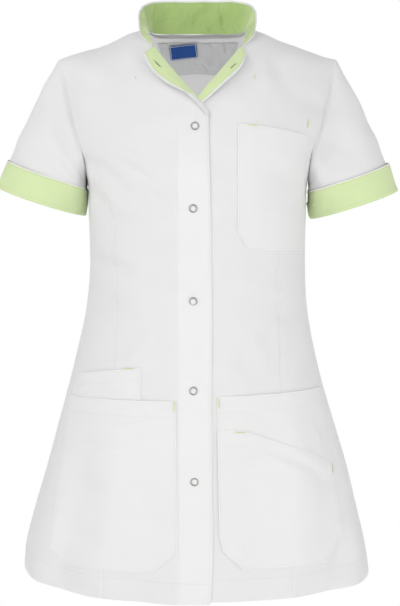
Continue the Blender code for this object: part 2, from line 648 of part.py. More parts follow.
# ------------------------------------------------------------------ back
def back_panel(material):
    sides = []
    for side in (-1, 1):
        z_front_hem = float(hem_z(-1, side * 1.0))
        col = []
        for i in range(ROWS):
            z = z_front_hem + (ARMPIT_Z - z_front_hem) * i / ROWS
            col.append((1, side * 1.0, side_d(1, side, z)))
        loop = armhole_points(side)
        col += [loop[CAP + SIDE_COLS + i] for i in range(CAP_BACK)]
        col.append((1, loop[0][1], 0.0))
        sides.append(col)
    left, right = inset(sides[0], sides[1]), inset(sides[1], sides[0])
    # top edge: shoulder, neck, shoulder
    top = []
    for j in range(SHOULDER_COLS):
        x = -TIP_X + (TIP_X - NECK_X) * j / SHOULDER_COLS
        top.append((float(chart(1, x, shoulder_z(x))[0]), SEAM / 2))
    around = [neck_point(-1, t) for t in NECK_T[NECK_SHOULDER::-1]] + [neck_point(1, t) for t in NECK_T[1:NECK_SHOULDER + 1]]
    for q in around:
        top.append((q[1], max(q[2], SEAM / 2)))
    for j in range(1, SHOULDER_COLS + 1):
        x = NECK_X + (TIP_X - NECK_X) * j / SHOULDER_COLS
        top.append((float(chart(1, x, shoulder_z(x))[0]), SEAM / 2))
    cols, rows = len(top), len(left)
    top_a, top_d = np.array([p[0] for p in top]), np.array([p[1] for p in top])
    pts, nrm = [], []
    u = np.linspace(-1, 1, cols)
    share_top = (top_a - top_a[0]) / (top_a[-1] - top_a[0])
    share_low = np.linspace(0, 1, cols)
    for i in range(rows):
        v = i / (rows - 1)
        w = float(step(i, ROWS - 8, rows - 1))
        share = share_low * (1 - w) + share_top * w
        a = left[i][1] + (right[i][1] - left[i][1]) * share
        d = left[i][2] + (right[i][2] - left[i][2]) * share
        if i > ROWS:                              # draw the rows down round the neck
            reach = left[ROWS][2]
            share_up = np.clip((d - SEAM / 2) / (reach - SEAM / 2), 0, 1)
            d = top_d + (reach - top_d) * share_up ** (1 + 0.55 * top_d / top_d.max())
        if i < 6:
            d = hem_rows(1, a, d, (1 - i / 6) ** 1.5)
        d = np.maximum(d, SEAM / 2)
        pts.append(body(1, a, d))
        nrm.append(outward(1, a, d))
    points, normals = np.concatenate(pts), np.concatenate(nrm)
    faces = faces_out(points, normals, grid_faces(rows, cols))
    return solid("back", points, normals, faces, material)


# ------------------------------------------------------------------ collar
def collar_stations():
    """Seam points, edge points and outward normals from the right notch round to the left one."""
    out = []
    order = [(-1, t) for t in reversed(NECK_T)] + [(1, t) for t in NECK_T[1:]]
    for side, t in order:
        _, _, _, seam, n = neck_point(side, t)
        edge = np.array([side * curve(t, COLLAR_EDGE[:, 0], COLLAR_EDGE[:, 1]),
                         curve(t, COLLAR_EDGE[:, 0], COLLAR_EDGE[:, 2]),
                         curve(t, COLLAR_EDGE[:, 0], COLLAR_EDGE[:, 3])], float) / 1000
        up = (edge - seam) / np.linalg.norm(edge - seam)
        # in front the collar lies over the fronts, so both its layers are above them
        above = WALL / 2 + SEAM * 2 + float(step(t, 0.55, 0.75)) * (WALL + SEAM * 3)
        foot = seam + n * above + up * 0.0006
        out.append((foot, edge))
    return out


def collar(inner, material):
    stations = collar_stations()
    rows, cols = 3, len(stations)
    pts = np.zeros((rows, cols, 3))
    for j, (foot, edge) in enumerate(stations):
        for i in range(rows):
            f = i / (rows - 1)
            pts[i, j] = foot + (edge - foot) * f
    tangent = np.gradient(pts, axis=1)
    rise = pts[-1] - pts[0]
    nrm = np.cross(tangent, rise[None])
    nrm /= np.linalg.norm(nrm, axis=-1, keepdims=True)
    sign = np.sign(nrm[0, cols // 2, 1])        # outward is +Y at the centre back, and so all the way round
    nrm = nrm * sign
    half = (WALL + SEAM) / 2
    off = -half if inner else half
    # a soft belly half way up, so that the collar is not a plain cone
    belly = np.array([0, 0.7, 0])[:, None, None] * 0.0015
    points = (pts + nrm * (off + belly)).reshape(-1, 3)
    normals = nrm.reshape(-1, 3)
    faces = faces_out(points, normals, grid_faces(rows, cols))
    return solid("collar_inner" if inner else "collar_outer", points, normals, faces, material)


# ------------------------------------------------------------------ sleeves and cuffs
CUFF_CENTRE = {-1: np.array([0.2112, -0.0020, -0.2225]), 1: np.array([0.2122, -0.0020, -0.2268])}
CUFF_WIDE = np.array([0.0580, 0.0000, 0.0188])      # centre to the outer side of the sleeve's end
CUFF_DEEP = np.array([0.0010, -0.0500, -0.0030])    # centre to its front
SLEEVE_ROWS = 9
CUFF_ROWS = 3            # of the sleeve's rows, those the cuff covers


def sleeve_net(side):
    """Points and normals of the sleeve, armhole to lower end: rows x loop."""
    mirror = np.array([side, 1, 1])
    loop = armhole_points(side)
    start, start_n = [], []
    for s, a, d in loop:
        start.append(body(s, np.array(a), np.array(d)))
        start_n.append(outward(s, np.array([a]), np.array([d]))[0])
    start, start_n = np.array(start), np.array(start_n)
    count = len(loop)
    # angle of each loop point round the sleeve: 0 at the top, 90 degrees in front, 180 below
    ang = np.zeros(count)
    low = CAP + SIDE_COLS
    seg = np.linalg.norm(np.roll(start, -1, axis=0) - start, axis=1)
    ahead = np.concatenate([[0], np.cumsum(seg[:low])])
    ang[:low + 1] = ahead / ahead[-1] * np.pi
    back = np.concatenate([[0], np.cumsum(seg[low:])])
    ang[low:] = np.pi + back[:-1] / back[-1] * np.pi
    end = (CUFF_CENTRE[side] + np.cos(ang)[:, None] * CUFF_WIDE + np.sin(ang)[:, None] * CUFF_DEEP) * mirror
    axis = np.cross(CUFF_DEEP, CUFF_WIDE)
    axis = axis / np.linalg.norm(axis)
    axis = axis * (-1 if axis[2] > 0 else 1)
    # leaving direction: out over the shoulder at the top, straight down the side under the arm
    top = np.array([0.545, 0.0, -0.838]) * mirror
    under = np.array([0.10, 0.0, -1.0]) * mirror
    w = ((1 + np.cos(ang)) / 2)[:, None]
    leave = top * w + under * (1 - w)
    axis = (np.array([0.40, 0.0, -0.916]) * w + axis * (1 - w)) * mirror
    axis /= np.linalg.norm(axis, axis=1, keepdims=True)
    leave = leave + start_n * np.array([0.15, 0.55, 0.0]) * np.sin(ang)[:, None] ** 2
    leave /= np.linalg.norm(leave, axis=1, keepdims=True)
    # clear of the panels: a seam's gap at the top, a layer's thickness under the arm
    out_w = step(np.abs(ang - np.pi), 1.5, 0.5)[:, None]
    start = start + leave * SEAM * 1.2 + start_n * (WALL + SEAM * 2) * out_w
    length = np.linalg.norm(end - start, axis=1, keepdims=True)
    t = np.concatenate([np.linspace(0, 1 - 0.30, SLEEVE_ROWS - CUFF_ROWS), np.linspace(1 - 0.30, 1, CUFF_ROWS + 1)[1:]])
    net = np.zeros((len(t), count, 3))
    # share of the path under the cuff, so that the cuff has one height all round
    for i, s in enumerate(t):
        cover = np.minimum(CUFF_HIGH / length[:, 0], 0.62)
        k = np.where(s <= 0.7, s / 0.7 * (1 - cover), 1 - cover + (s - 0.7) / 0.3 * cover)[:, None]
        b1 = start + leave * length * 0.36
        b2 = end - axis * length * 0.34
        net[i] = (1 - k)**3 * start + 3 * k * (1 - k)**2 * b1 + 3 * k * k * (1 - k) * b2 + k**3 * end
    around = np.roll(net, -1, axis=1) - np.roll(net, 1, axis=1)
    down = np.gradient(net, axis=0)
    nrm = np.cross(around, down)
    nrm /= np.linalg.norm(nrm, axis=-1, keepdims=True)
    centre = net.mean(axis=1, keepdims=True)
    nrm *= np.sign(np.sum(nrm * (net - centre), axis=-1, keepdims=True).mean())
    # near the end the wall stands square to the loop itself, and at the armhole to the panels
    ringed = np.cross(around, np.broadcast_to(axis, around.shape))
    ringed /= np.linalg.norm(ringed, axis=-1, keepdims=True)
    ringed *= np.sign(np.sum(ringed * (net - centre), axis=-1, keepdims=True).mean())
    w_end = step(np.arange(len(t)), SLEEVE_ROWS - CUFF_ROWS - 3, SLEEVE_ROWS - CUFF_ROWS - 1)[:, None, None]
    nrm = nrm * (1 - w_end) + ringed * w_end
    nrm[0] = start_n * (1 - out_w) + nrm[0] * out_w
    nrm /= np.linalg.norm(nrm, axis=-1, keepdims=True)
    return net, nrm


def sleeve(side, material):
    net, nrm = sleeve_net(side)
    rows, cols = net.shape[:2]
    p, n = net.reshape(-1, 3), nrm.reshape(-1, 3)
    faces = faces_out(p, n, grid_faces(rows, cols, closed=True))
    return solid("sleeve_right" if side < 0 else "sleeve_left", p, n, faces, material)


def cuff(side, material):
    net, nrm = sleeve_net(side)
    net, nrm = net[-CUFF_ROWS - 1:], nrm[-CUFF_ROWS - 1:]
    rows, cols = net.shape[:2]
    f = np.linspace(1, 0, rows)[:, None, None]
    # the cuff's top stands off most on the outside of the arm and least against the body
    outside = (net[..., :1] * side - CUFF_CENTRE[side][0]) / CUFF_WIDE[0]
    p = net + nrm * (WALL + SEAM + CUFF_FLARE * f * step(outside, -1.1, 0.6))
    p, n = p.reshape(-1, 3), nrm.reshape(-1, 3)
    faces = faces_out(p, n, grid_faces(rows, cols, closed=True))
    return solid("cuff_right" if side < 0 else "cuff_left", p, n, faces, material)


# ------------------------------------------------------------------ what lies on the panels
def surface(x, z, lift):
    """Points and normals of the front at x and z, moved out by lift."""
    a, d = chart(-1, x, z)
    p, n = body(-1, a, d), outward(-1, a, d)
    return p + n * np.asarray(lift)[..., None], n


def pocket(name, material):
    side, layer, inner, outer, cols, rows = POCKETS[name]
    inner, outer = np.array(inner, float), np.array(outer, float)
    t_in = np.interp(np.linspace(0, 1, rows + 1), np.linspace(0, 1, rows + 1), np.linspace(0, 1, rows + 1))
    breaks = sorted(set(inner[:, 0]) | set(outer[:, 0]))
    t = np.unique(np.round(np.concatenate([t_in[(np.abs(t_in[:, None] - np.array(breaks)[None]).min(1) > 0.05)], breaks]), 4))
    s = np.linspace(0, 1, cols + 1)
    pa, pz = [], []
    for k in t:
        x0, z0 = np.interp(k, inner[:, 0], inner[:, 1]) / 1000, np.interp(k, inner[:, 0], inner[:, 2]) / 1000
        x1, z1 = np.interp(k, outer[:, 0], outer[:, 1]) / 1000, np.interp(k, outer[:, 0], outer[:, 2]) / 1000
        a0, a1 = float(chart(-1, x0, z0)[0]), float(chart(-1, x1, z1)[0])
        pa.append(a0 + (a1 - a0) * s)
        pz.append(z0 + (z1 - z0) * s)
    pa, pz = np.array(pa), np.array(pz)
    px = across_x(-1, pa, pz)
    if name in TOPS:
        top = np.array(TOPS[name]) / 1000
        bent = np.interp(px[0], top[:, 0], top[:, 1]) - pz[0]
        pz = pz + bent[None] * (1 - t[:, None])
        px = across_x(-1, pa, pz)
    lift = np.full(px.shape, LAY * layer)
    if side < 0:
        lift = lift + upper_lift(px, pz)
    if name == "lower_pocket_right":          # it lies over the foot of the phone pocket
        lift = lift + LAY * 1.0 * step(-px, 0.060, 0.073) * step(pz, -0.545, -0.510)
    # a little fullness in the middle of the pocket
    tt = np.linspace(0, 1, len(t))[:, None]
    lift = lift + 0.0014 * np.sin(np.pi * s)[None] ** 2 * np.sin(np.pi * (0.15 + 0.85 * tt)) ** 2
    p, n = level(-1, pa, pz)
    p = p + n * lift[..., None]
    p, n = p.reshape(-1, 3), n.reshape(-1, 3)
    faces = faces_out(p, n, grid_faces(len(t), cols + 1))
    return solid(name, p, n, faces, material)


def snap(index, material):
    """Flat metal ring on the fly band."""
    lift = LAY + WALL / 2 + SEAM * 2.5
    c, n = surface(np.array([SNAP_X[index]]), np.array([SNAP_Z[index]]), np.array([lift]))
    c, n = c[0], n[0]
    u = np.array([1.0, 0, 0]) - n * n[0]
    u /= np.linalg.norm(u)
    v = np.cross(n, u)
    profile = [(SNAP_HOLE, 0.0), (SNAP_R, 0.0), (SNAP_R, SNAP_HIGH * 0.45), ((SNAP_R + SNAP_HOLE) / 2, SNAP_HIGH),
               (SNAP_HOLE, SNAP_HIGH * 0.45)]
    count = 12
    verts = []
    for k in range(count):
        th = 2 * np.pi * k / count
        e = u * np.cos(th) + v * np.sin(th)
        verts += [c + e * r + n * h for r, h in profile]
    m = len(profile)
    faces = []
    for k in range(count):
        for i in range(m):
            a, b = k * m + i, k * m + (i + 1) % m
            c2, d2 = ((k + 1) % count) * m + (i + 1) % m, ((k + 1) % count) * m + i
            faces.append((a, d2, c2, b))
    verts = np.array(verts)
    mid = verts.mean(axis=0)
    f = faces[1]                                # outer rim must face away from the middle
    nn = np.cross(verts[f[2]] - verts[f[0]], verts[f[3]] - verts[f[1]])
    if np.dot(nn, verts[list(f)].mean(axis=0) - mid) < 0:
        faces = [tuple(reversed(g)) for g in faces]
    return make("snap_%d" % (index + 1), verts, faces, material)


def inside_back(name, centre, x_edges, z_top, z_low, arch, layer, cols, rows, material):
    """A patch on the inner face of the back, its lower edge arched by arch."""
    s = np.linspace(-1, 1, cols + 1)
    px, pz = [], []
    for k in np.linspace(0, 1, rows + 1):
        x = centre + s * (x_edges[0] * (1 - k) + x_edges[1] * k)
        top = z_top(x)
        low = z_low + arch * (1 - s**2)
        px.append(x)
        pz.append(top + (low - top) * k)
    px, pz = np.array(px), np.array(pz)
    a, d = chart(1, px + 1e-7, pz)
    p, n = body(1, a, d), outward(1, a, d)
    p = p - n * LAY * layer
    p, n = p.reshape(-1, 3), n.reshape(-1, 3)
    faces = faces_out(p, n, grid_faces(rows + 1, cols + 1))
    return solid(name, p, n, faces, material)


def neck_tape(material):
    """Narrow tape over the back neck seam, inside."""
    order = [(-1, t) for t in NECK_T[6:0:-1]] + [(1, t) for t in NECK_T[0:7]]
    pts, ns = [], []
    for drop in (0.0015, 0.0075):
        for side, t in order:
            sheet, a, d, p, n = neck_point(side, t)
            aa, dd = np.array([a]), np.array([d + drop])
            q, m = body(1, aa, dd)[0], outward(1, aa, dd)[0]
            pts.append(q - m * LAY * 1.4)
            ns.append(m)
    cols = len(order)
    pts, ns = np.array(pts), np.array(ns)
    faces = faces_out(pts, ns, grid_faces(2, cols))
    return solid("neck_tape", pts, ns, faces, material)


# ------------------------------------------------------------------ build
def main():
    for obj in list(bpy.data.objects):
        bpy.data.objects.remove(obj, do_unlink=True)
    white = finish("white_cloth", WHITE, 0.85)
    lime = finish("lime_cloth", LIME, 0.85)
    steel = finish("snap_steel", STEEL, 0.3, 1.0)
    blue = finish("label_cloth", BLUE, 0.8)
    for side in (-1, 1):
        front_panel(side, white)
        side_panel(side, white)
        sleeve(side, white)
        cuff(side, lime)
        facing(side, front_rows(side), lime)
    back_panel(white)
    collar(False, white)
    collar(True, lime)
    for name in POCKETS:
        pocket(name, white)
    for i in range(len(SNAP_Z)):
        snap(i, steel)
    neck_z = lambda x: z_neck(x) - 0.0100
    inside_back("back_neck_facing", 0.0, (0.056, 0.040), neck_z, -0.0495, 0.0045, 1.4, 8, 5, white)
    inside_back("label", -0.0200, (0.0192, 0.0192), lambda x: np.full(np.shape(x), -0.0040), -0.0233, 0.0, 2.4, 4, 2, blue)
    neck_tape(white)


def z_neck(x):
    """Height of the back neck seam at x."""
    at = [neck_point(1, t)[3] for t in NECK_T[:NECK_SHOULDER + 1]]
    return np.interp(np.abs(x), [p[0] for p in at], [p[2] for p in at])


main()
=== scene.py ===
import math

import bpy
import numpy as np
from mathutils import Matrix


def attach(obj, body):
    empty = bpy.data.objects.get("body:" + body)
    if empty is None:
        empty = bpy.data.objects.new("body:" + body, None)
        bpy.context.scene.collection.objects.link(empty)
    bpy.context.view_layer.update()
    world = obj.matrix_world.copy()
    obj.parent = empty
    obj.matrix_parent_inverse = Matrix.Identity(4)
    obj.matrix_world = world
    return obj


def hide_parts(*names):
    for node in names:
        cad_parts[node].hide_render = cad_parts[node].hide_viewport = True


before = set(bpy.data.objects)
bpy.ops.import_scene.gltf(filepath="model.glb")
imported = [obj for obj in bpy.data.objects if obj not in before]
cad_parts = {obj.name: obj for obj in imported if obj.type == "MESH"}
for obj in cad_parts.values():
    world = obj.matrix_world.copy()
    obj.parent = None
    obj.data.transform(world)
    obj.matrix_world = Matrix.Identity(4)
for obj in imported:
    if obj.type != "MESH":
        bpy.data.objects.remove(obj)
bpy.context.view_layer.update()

# ------------------------------------------------------------------ camera first
scene = bpy.context.scene
cam_data = bpy.data.cameras.new("camera")
cam = bpy.data.objects.new("camera", cam_data)
scene.collection.objects.link(cam)
cam.location = (0.0034, -2.6, -0.222)
cam.rotation_euler = (math.pi / 2 - math.radians(3.09), 0, 0)
cam_data.lens = 1908 * 36 / 606
cam_data.sensor_width = 36
cam_data.sensor_fit = "AUTO"
cam_data.clip_end = 60
scene.camera = cam

# ------------------------------------------------------------------ the form, as part.py has it (metres)
WALL = 0.0012
SEAM = 0.0003
LAY = WALL + 0.0009
NECK_X = 0.068
TIP_X = 0.187
ARMPIT_Z = -0.190
SPLIT_Z = -0.156
UNDER_X = -0.0220
BAND_X = -0.0262
FOLD_R = LAY / 2
HOOD_FRONT = 0.160
HOOD_BACK = 0.100
CUFF_HIGH = 0.037
LIP = 0.0024

RINGS = np.array([
    # z,   right,  left, front,  back, square
    (-770, 238.0, 237.0, 121.0, 109.0, 2.25),
    (-722, 236.8, 233.7, 121.5, 110.0, 2.25),
    (-694, 234.8, 229.5, 122.0, 111.0, 2.25),
    (-638, 221.2, 216.5, 122.5, 112.5, 2.25),
    (-583, 205.0, 203.3, 122.5, 113.0, 2.25),
    (-528, 190.2, 187.0, 121.0, 110.5, 2.25),
    (-473, 175.2, 170.5, 117.5, 104.0, 2.25),
    (-418, 161.5, 157.2, 114.0,  94.0, 2.25),
    (-364, 150.3, 148.3, 113.0,  87.0, 2.30),
    (-309, 145.4, 145.8, 117.0,  88.0, 2.35),
    (-270, 146.0, 146.0, 123.0,  93.0, 2.35),
    (-235, 147.2, 146.9, 127.0,  98.5, 2.40),
    (-190, 150.0, 150.0, 125.5, 104.0, 2.45),
    (-160, 162.5, 162.5, 120.5, 106.0, 2.50),
    (-130, 170.5, 170.5, 114.5, 106.5, 2.50),
    (-100, 176.5, 176.5, 109.0, 105.5, 2.50),
    ( -70, 183.5, 183.5, 105.5, 103.0, 2.50),
    ( -50, 188.5, 188.5, 104.0, 100.5, 2.50),
    ( -30, 194.5, 194.5, 103.0,  98.0, 2.50),
    (  30, 215.0, 215.0, 102.0,  94.0, 2.50),
])
SHOULDER = np.array([
    (0.0,   24.0), (30.0, 22.0), (50.0, 16.8), (68.0,  9.6), (80.0, 6.0), (90.0, 2.4),
    (104.0, -4.5), (119.0, -10.3), (134.0, -15.8), (152.0, -21.4), (168.0, -26.8),
    (187.0, -32.5), (215.0, -42.0),
])
PRINCESS = np.array([
    (-770, 131.0), (-700, 124.0), (-600, 117.0), (-500, 112.0), (-400, 109.0), (-300, 108.0),
    (-250, 112.5), (-210, 122.5), (-180, 135.5), (-156, 154.0),
])
ARMHOLE = np.array([
    (-190.0, 150.0, 150.0), (-183.0, 149.6, 150.6), (-172.0, 150.4, 152.2), (-156.0, 154.0, 156.0),
    (-137.0, 161.0, 161.5), (-101.0, 170.0, 169.5), (-70.0, 177.3, 177.0), (-48.0, 182.6, 182.5),
    (-32.5, 187.0, 187.0),
])
NECK = np.array([
    (0.00,  0.0,  62.0), (0.14, 24.0, 60.5), (0.28, 46.0, 54.0), (0.40, 59.5, 42.0),
    (0.52, 66.2,  22.0), (0.62, 68.0,   0.0), (0.75, 66.6, -24.0), (0.88, 63.2, -46.0),
    (1.00, 58.0, -63.5),
])
COLLAR_EDGE = np.array([
    (0.00,  0.0,  70.0,  53.5), (0.14, 25.5, 69.0,  53.5), (0.28, 49.5,  63.5,  52.8),
    (0.40, 66.5,  52.0,  49.0), (0.52, 76.5, 31.0,  41.0), (0.62, 79.3,   9.0,  31.0),
    (0.75, 79.0, -12.0,  18.0), (0.88, 77.5, -30.0,   7.5), (1.00, 75.0, -44.5,  -3.5),
])
EDGE = np.array([
    (-760, 15.0), (-735, 16.5), (-673, 18.8), (-514, 18.4), (-347, 18.9), (-266, 17.7), (-199, 16.2),
    (-130, 14.8), (-108, 14.5),
])
HEM = np.array([
    (0.0, -753.0, -749.5), (0.1, -752.0, -749.0), (0.2, -749.5, -748.3), (0.3, -746.8, -746.0),
    (0.4, -744.1, -743.4), (0.5, -741.0, -741.2), (0.6, -736.9, -739.4), (0.7, -732.0, -737.6),
    (0.8, -727.5, -735.0), (0.9, -722.9, -731.5), (1.0, -719.5, -727.5),
])
SNAP_X = (-0.0031, -0.0054, -0.0055, -0.0052, -0.0038)
SNAP_Z = (-0.1266, -0.2329, -0.3541, -0.4711, -0.5900)
V_X, V_Z = 0.0026, -0.0850
BREAK_X, BREAK_Z = 0.0145, -0.1080

CUFF_CENTRE = {-1: np.array([0.2112, -0.0020, -0.2225]), 1: np.array([0.2122, -0.0020, -0.2268])}
CUFF_WIDE = np.array([0.0580, 0.0000, 0.0188])
CUFF_DEEP = np.array([0.0010, -0.0500, -0.0030])


def slopes(xs, ys):
    return np.gradient(ys, xs)


def curve(t, xs, ys):
    xs, ys = np.asarray(xs, float), np.asarray(ys, float)
    t = np.clip(np.asarray(t, float), xs[0], xs[-1])
    m = slopes(xs, ys)
    i = np.clip(np.searchsorted(xs, t, side="right") - 1, 0, len(xs) - 2)
    h = xs[i + 1] - xs[i]
    s = (t - xs[i]) / h
    return ((2 * s**3 - 3 * s**2 + 1) * ys[i] + (s**3 - 2 * s**2 + s) * h * m[i]
            + (3 * s**2 - 2 * s**3) * ys[i + 1] + (s**3 - s**2) * h * m[i + 1])


def step(t, a, b):
    s = np.clip((np.asarray(t, float) - a) / (b - a), 0, 1)
    return s * s * (3 - 2 * s)


def shoulder_z(x):
    return curve(np.abs(x) * 1000, SHOULDER[:, 0], SHOULDER[:, 1]) / 1000


def ring(z, x_sign, sheet):
    zz = np.asarray(z) * 1000
    right, left = curve(zz, RINGS[:, 0], RINGS[:, 1]), curve(zz, RINGS[:, 0], RINGS[:, 2])
    depth = curve(zz, RINGS[:, 0], RINGS[:, 3 if sheet < 0 else 4])
    return np.where(np.asarray(x_sign) < 0, right, left) / 1000, depth / 1000, curve(zz, RINGS[:, 0], RINGS[:, 5])


def hood(sheet):
    return (HOOD_FRONT, 0.205, 2.0) if sheet < 0 else (HOOD_BACK, 0.150, 2.4)


def z_of(sheet, x, d):
    high, reach, p = hood(sheet)
    turn = np.clip(d / reach, 0, 1) * np.pi / 2
    fall = high * (1 - np.cos(turn) ** (2 / p))
    return shoulder_z(x) - fall - np.maximum(d - reach, 0)


def d_of(sheet, x, z):
    high, reach, p = hood(sheet)
    q = (shoulder_z(x) - z) / high
    return np.where(q < 1, reach * np.arccos(np.clip(1 - q, 0, 1) ** (p / 2)) * 2 / np.pi,
                    reach + (q - 1) * high)


def body(sheet, a, d):
    a, d = np.broadcast_arrays(np.asarray(a, float), np.asarray(d, float))
    high, reach, p = hood(sheet)
    angle = np.abs(a) * np.pi / 2
    z = np.full(a.shape, -0.2)
    x = 0.15 * np.sin(angle) * np.sign(a)
    for _ in range(12):
        z = z_of(sheet, x, d)
        width, depth, n = ring(z, a, sheet)
        x = np.sign(a) * width * np.sin(angle) ** (2 / n)
    rounding = np.sin(np.clip(d / reach, 0, 1) * np.pi / 2) ** (2 / p)
    y = sheet * depth * np.clip(np.cos(angle), 0, 1) ** (2 / n) * rounding
    return np.stack([x, y, z], -1)


def across_x(sheet, a, z):
    width, _, n = ring(z, a, sheet)
    return np.sign(a) * width * np.sin(np.abs(a) * np.pi / 2) ** (2 / n)


def chart(sheet, x, z):
    x, z = np.asarray(x, float), np.asarray(z, float)
    width, _, n = ring(z, x, sheet)
    share = np.clip(np.abs(x) / width, 0, 1)
    return np.sign(x) * np.arcsin(share ** (n / 2)) * 2 / np.pi, d_of(sheet, x, z)


def outward(sheet, a, d):
    e = 2e-3
    a0, a1 = np.clip(a - e, -1, 1), np.clip(a + e, -1, 1)
    d0, d1 = np.maximum(d - 2e-3, 0), d + 2e-3
    u = body(sheet, a1, d) - body(sheet, a0, d)
    v = body(sheet, a, d1) - body(sheet, a, d0)
    n = np.cross(u, v) * (1 if sheet < 0 else -1) * -1
    flat = (np.abs(a) > 0.9999) | (np.asarray(d) < 1e-5)
    n[..., 1] = np.where(flat, 0, n[..., 1])
    n /= np.linalg.norm(n, axis=-1, keepdims=True)
    return n


def hem_z(sheet, a, side=0):
    a = np.asarray(a, float)
    col = np.where((a if side == 0 else np.full(a.shape, side)) < 0, 1, 2)
    k = np.abs(a) if side == 0 else np.clip(a * side, 0, 1)
    if sheet > 0:
        return -0.7330 + np.where(col == 1, 0.0135, 0.0055) * k ** 2.6
    return np.where(col == 1, curve(k, HEM[:, 0], HEM[:, 1]), curve(k, HEM[:, 0], HEM[:, 2])) / 1000


def princess_x(z):
    return curve(np.asarray(z) * 1000, PRINCESS[:, 0], PRINCESS[:, 1]) / 1000


def armhole(sheet, z):
    return curve(np.asarray(z) * 1000, ARMHOLE[:, 0], ARMHOLE[:, 1 if sheet < 0 else 2]) / 1000


def edge_x(z):
    return curve(np.asarray(z) * 1000, EDGE[:, 0], EDGE[:, 1]) / 1000


UP = 0.0014              # how far the upper front lies above the lower one, at the top


def upper_lift(x, z):
    over = 0.0013 * np.exp(-(((x + 0.001) / 0.016) ** 2 + ((z + 0.100) / 0.015) ** 2))
    close = UP - 0.00048 * step(-z, 0.190, 0.270)
    return close * (1 - step(-x, 0.030, 0.058)) * step(-z, 0.052, 0.078) + over


def neck_plan(t):
    return curve(t, NECK[:, 0], NECK[:, 1]) / 1000, curve(t, NECK[:, 0], NECK[:, 2]) / 1000


def neck_points(side, t):
    """(sheet array, a, d, point, normal) on the neck seam."""
    t = np.asarray(t, float)
    x, y = neck_plan(t)
    out_a, out_d = np.zeros(t.shape), np.zeros(t.shape)
    sheet = np.where(y > 1e-9, 1, -1)
    pts, nrm = np.zeros(t.shape + (3,)), np.zeros(t.shape + (3,))
    for sh in (-1, 1):
        k = sheet == sh
        if not k.any():
            continue
        xx, yy = x[k], y[k]
        high, reach, p = hood(sh)
        z = shoulder_z(xx)
        for _ in range(30):
            width, depth, n = ring(z, np.full(xx.shape, side), sh)
            share = np.minimum(np.abs(yy) / (depth * (1 - (xx / width) ** n) ** (1 / n)), 0.999)
            z = shoulder_z(xx) - high * (1 - (1 - share ** p) ** (1 / p))
        a, d = chart(sh, side * np.maximum(xx, 1e-6), z)
        d = np.where(np.abs(yy) < 1e-9, 0.0, d)
        out_a[k], out_d[k] = a, d
        pts[k], nrm[k] = body(sh, a, d), outward(sh, a, d)
    return sheet, out_a, out_d, pts, nrm


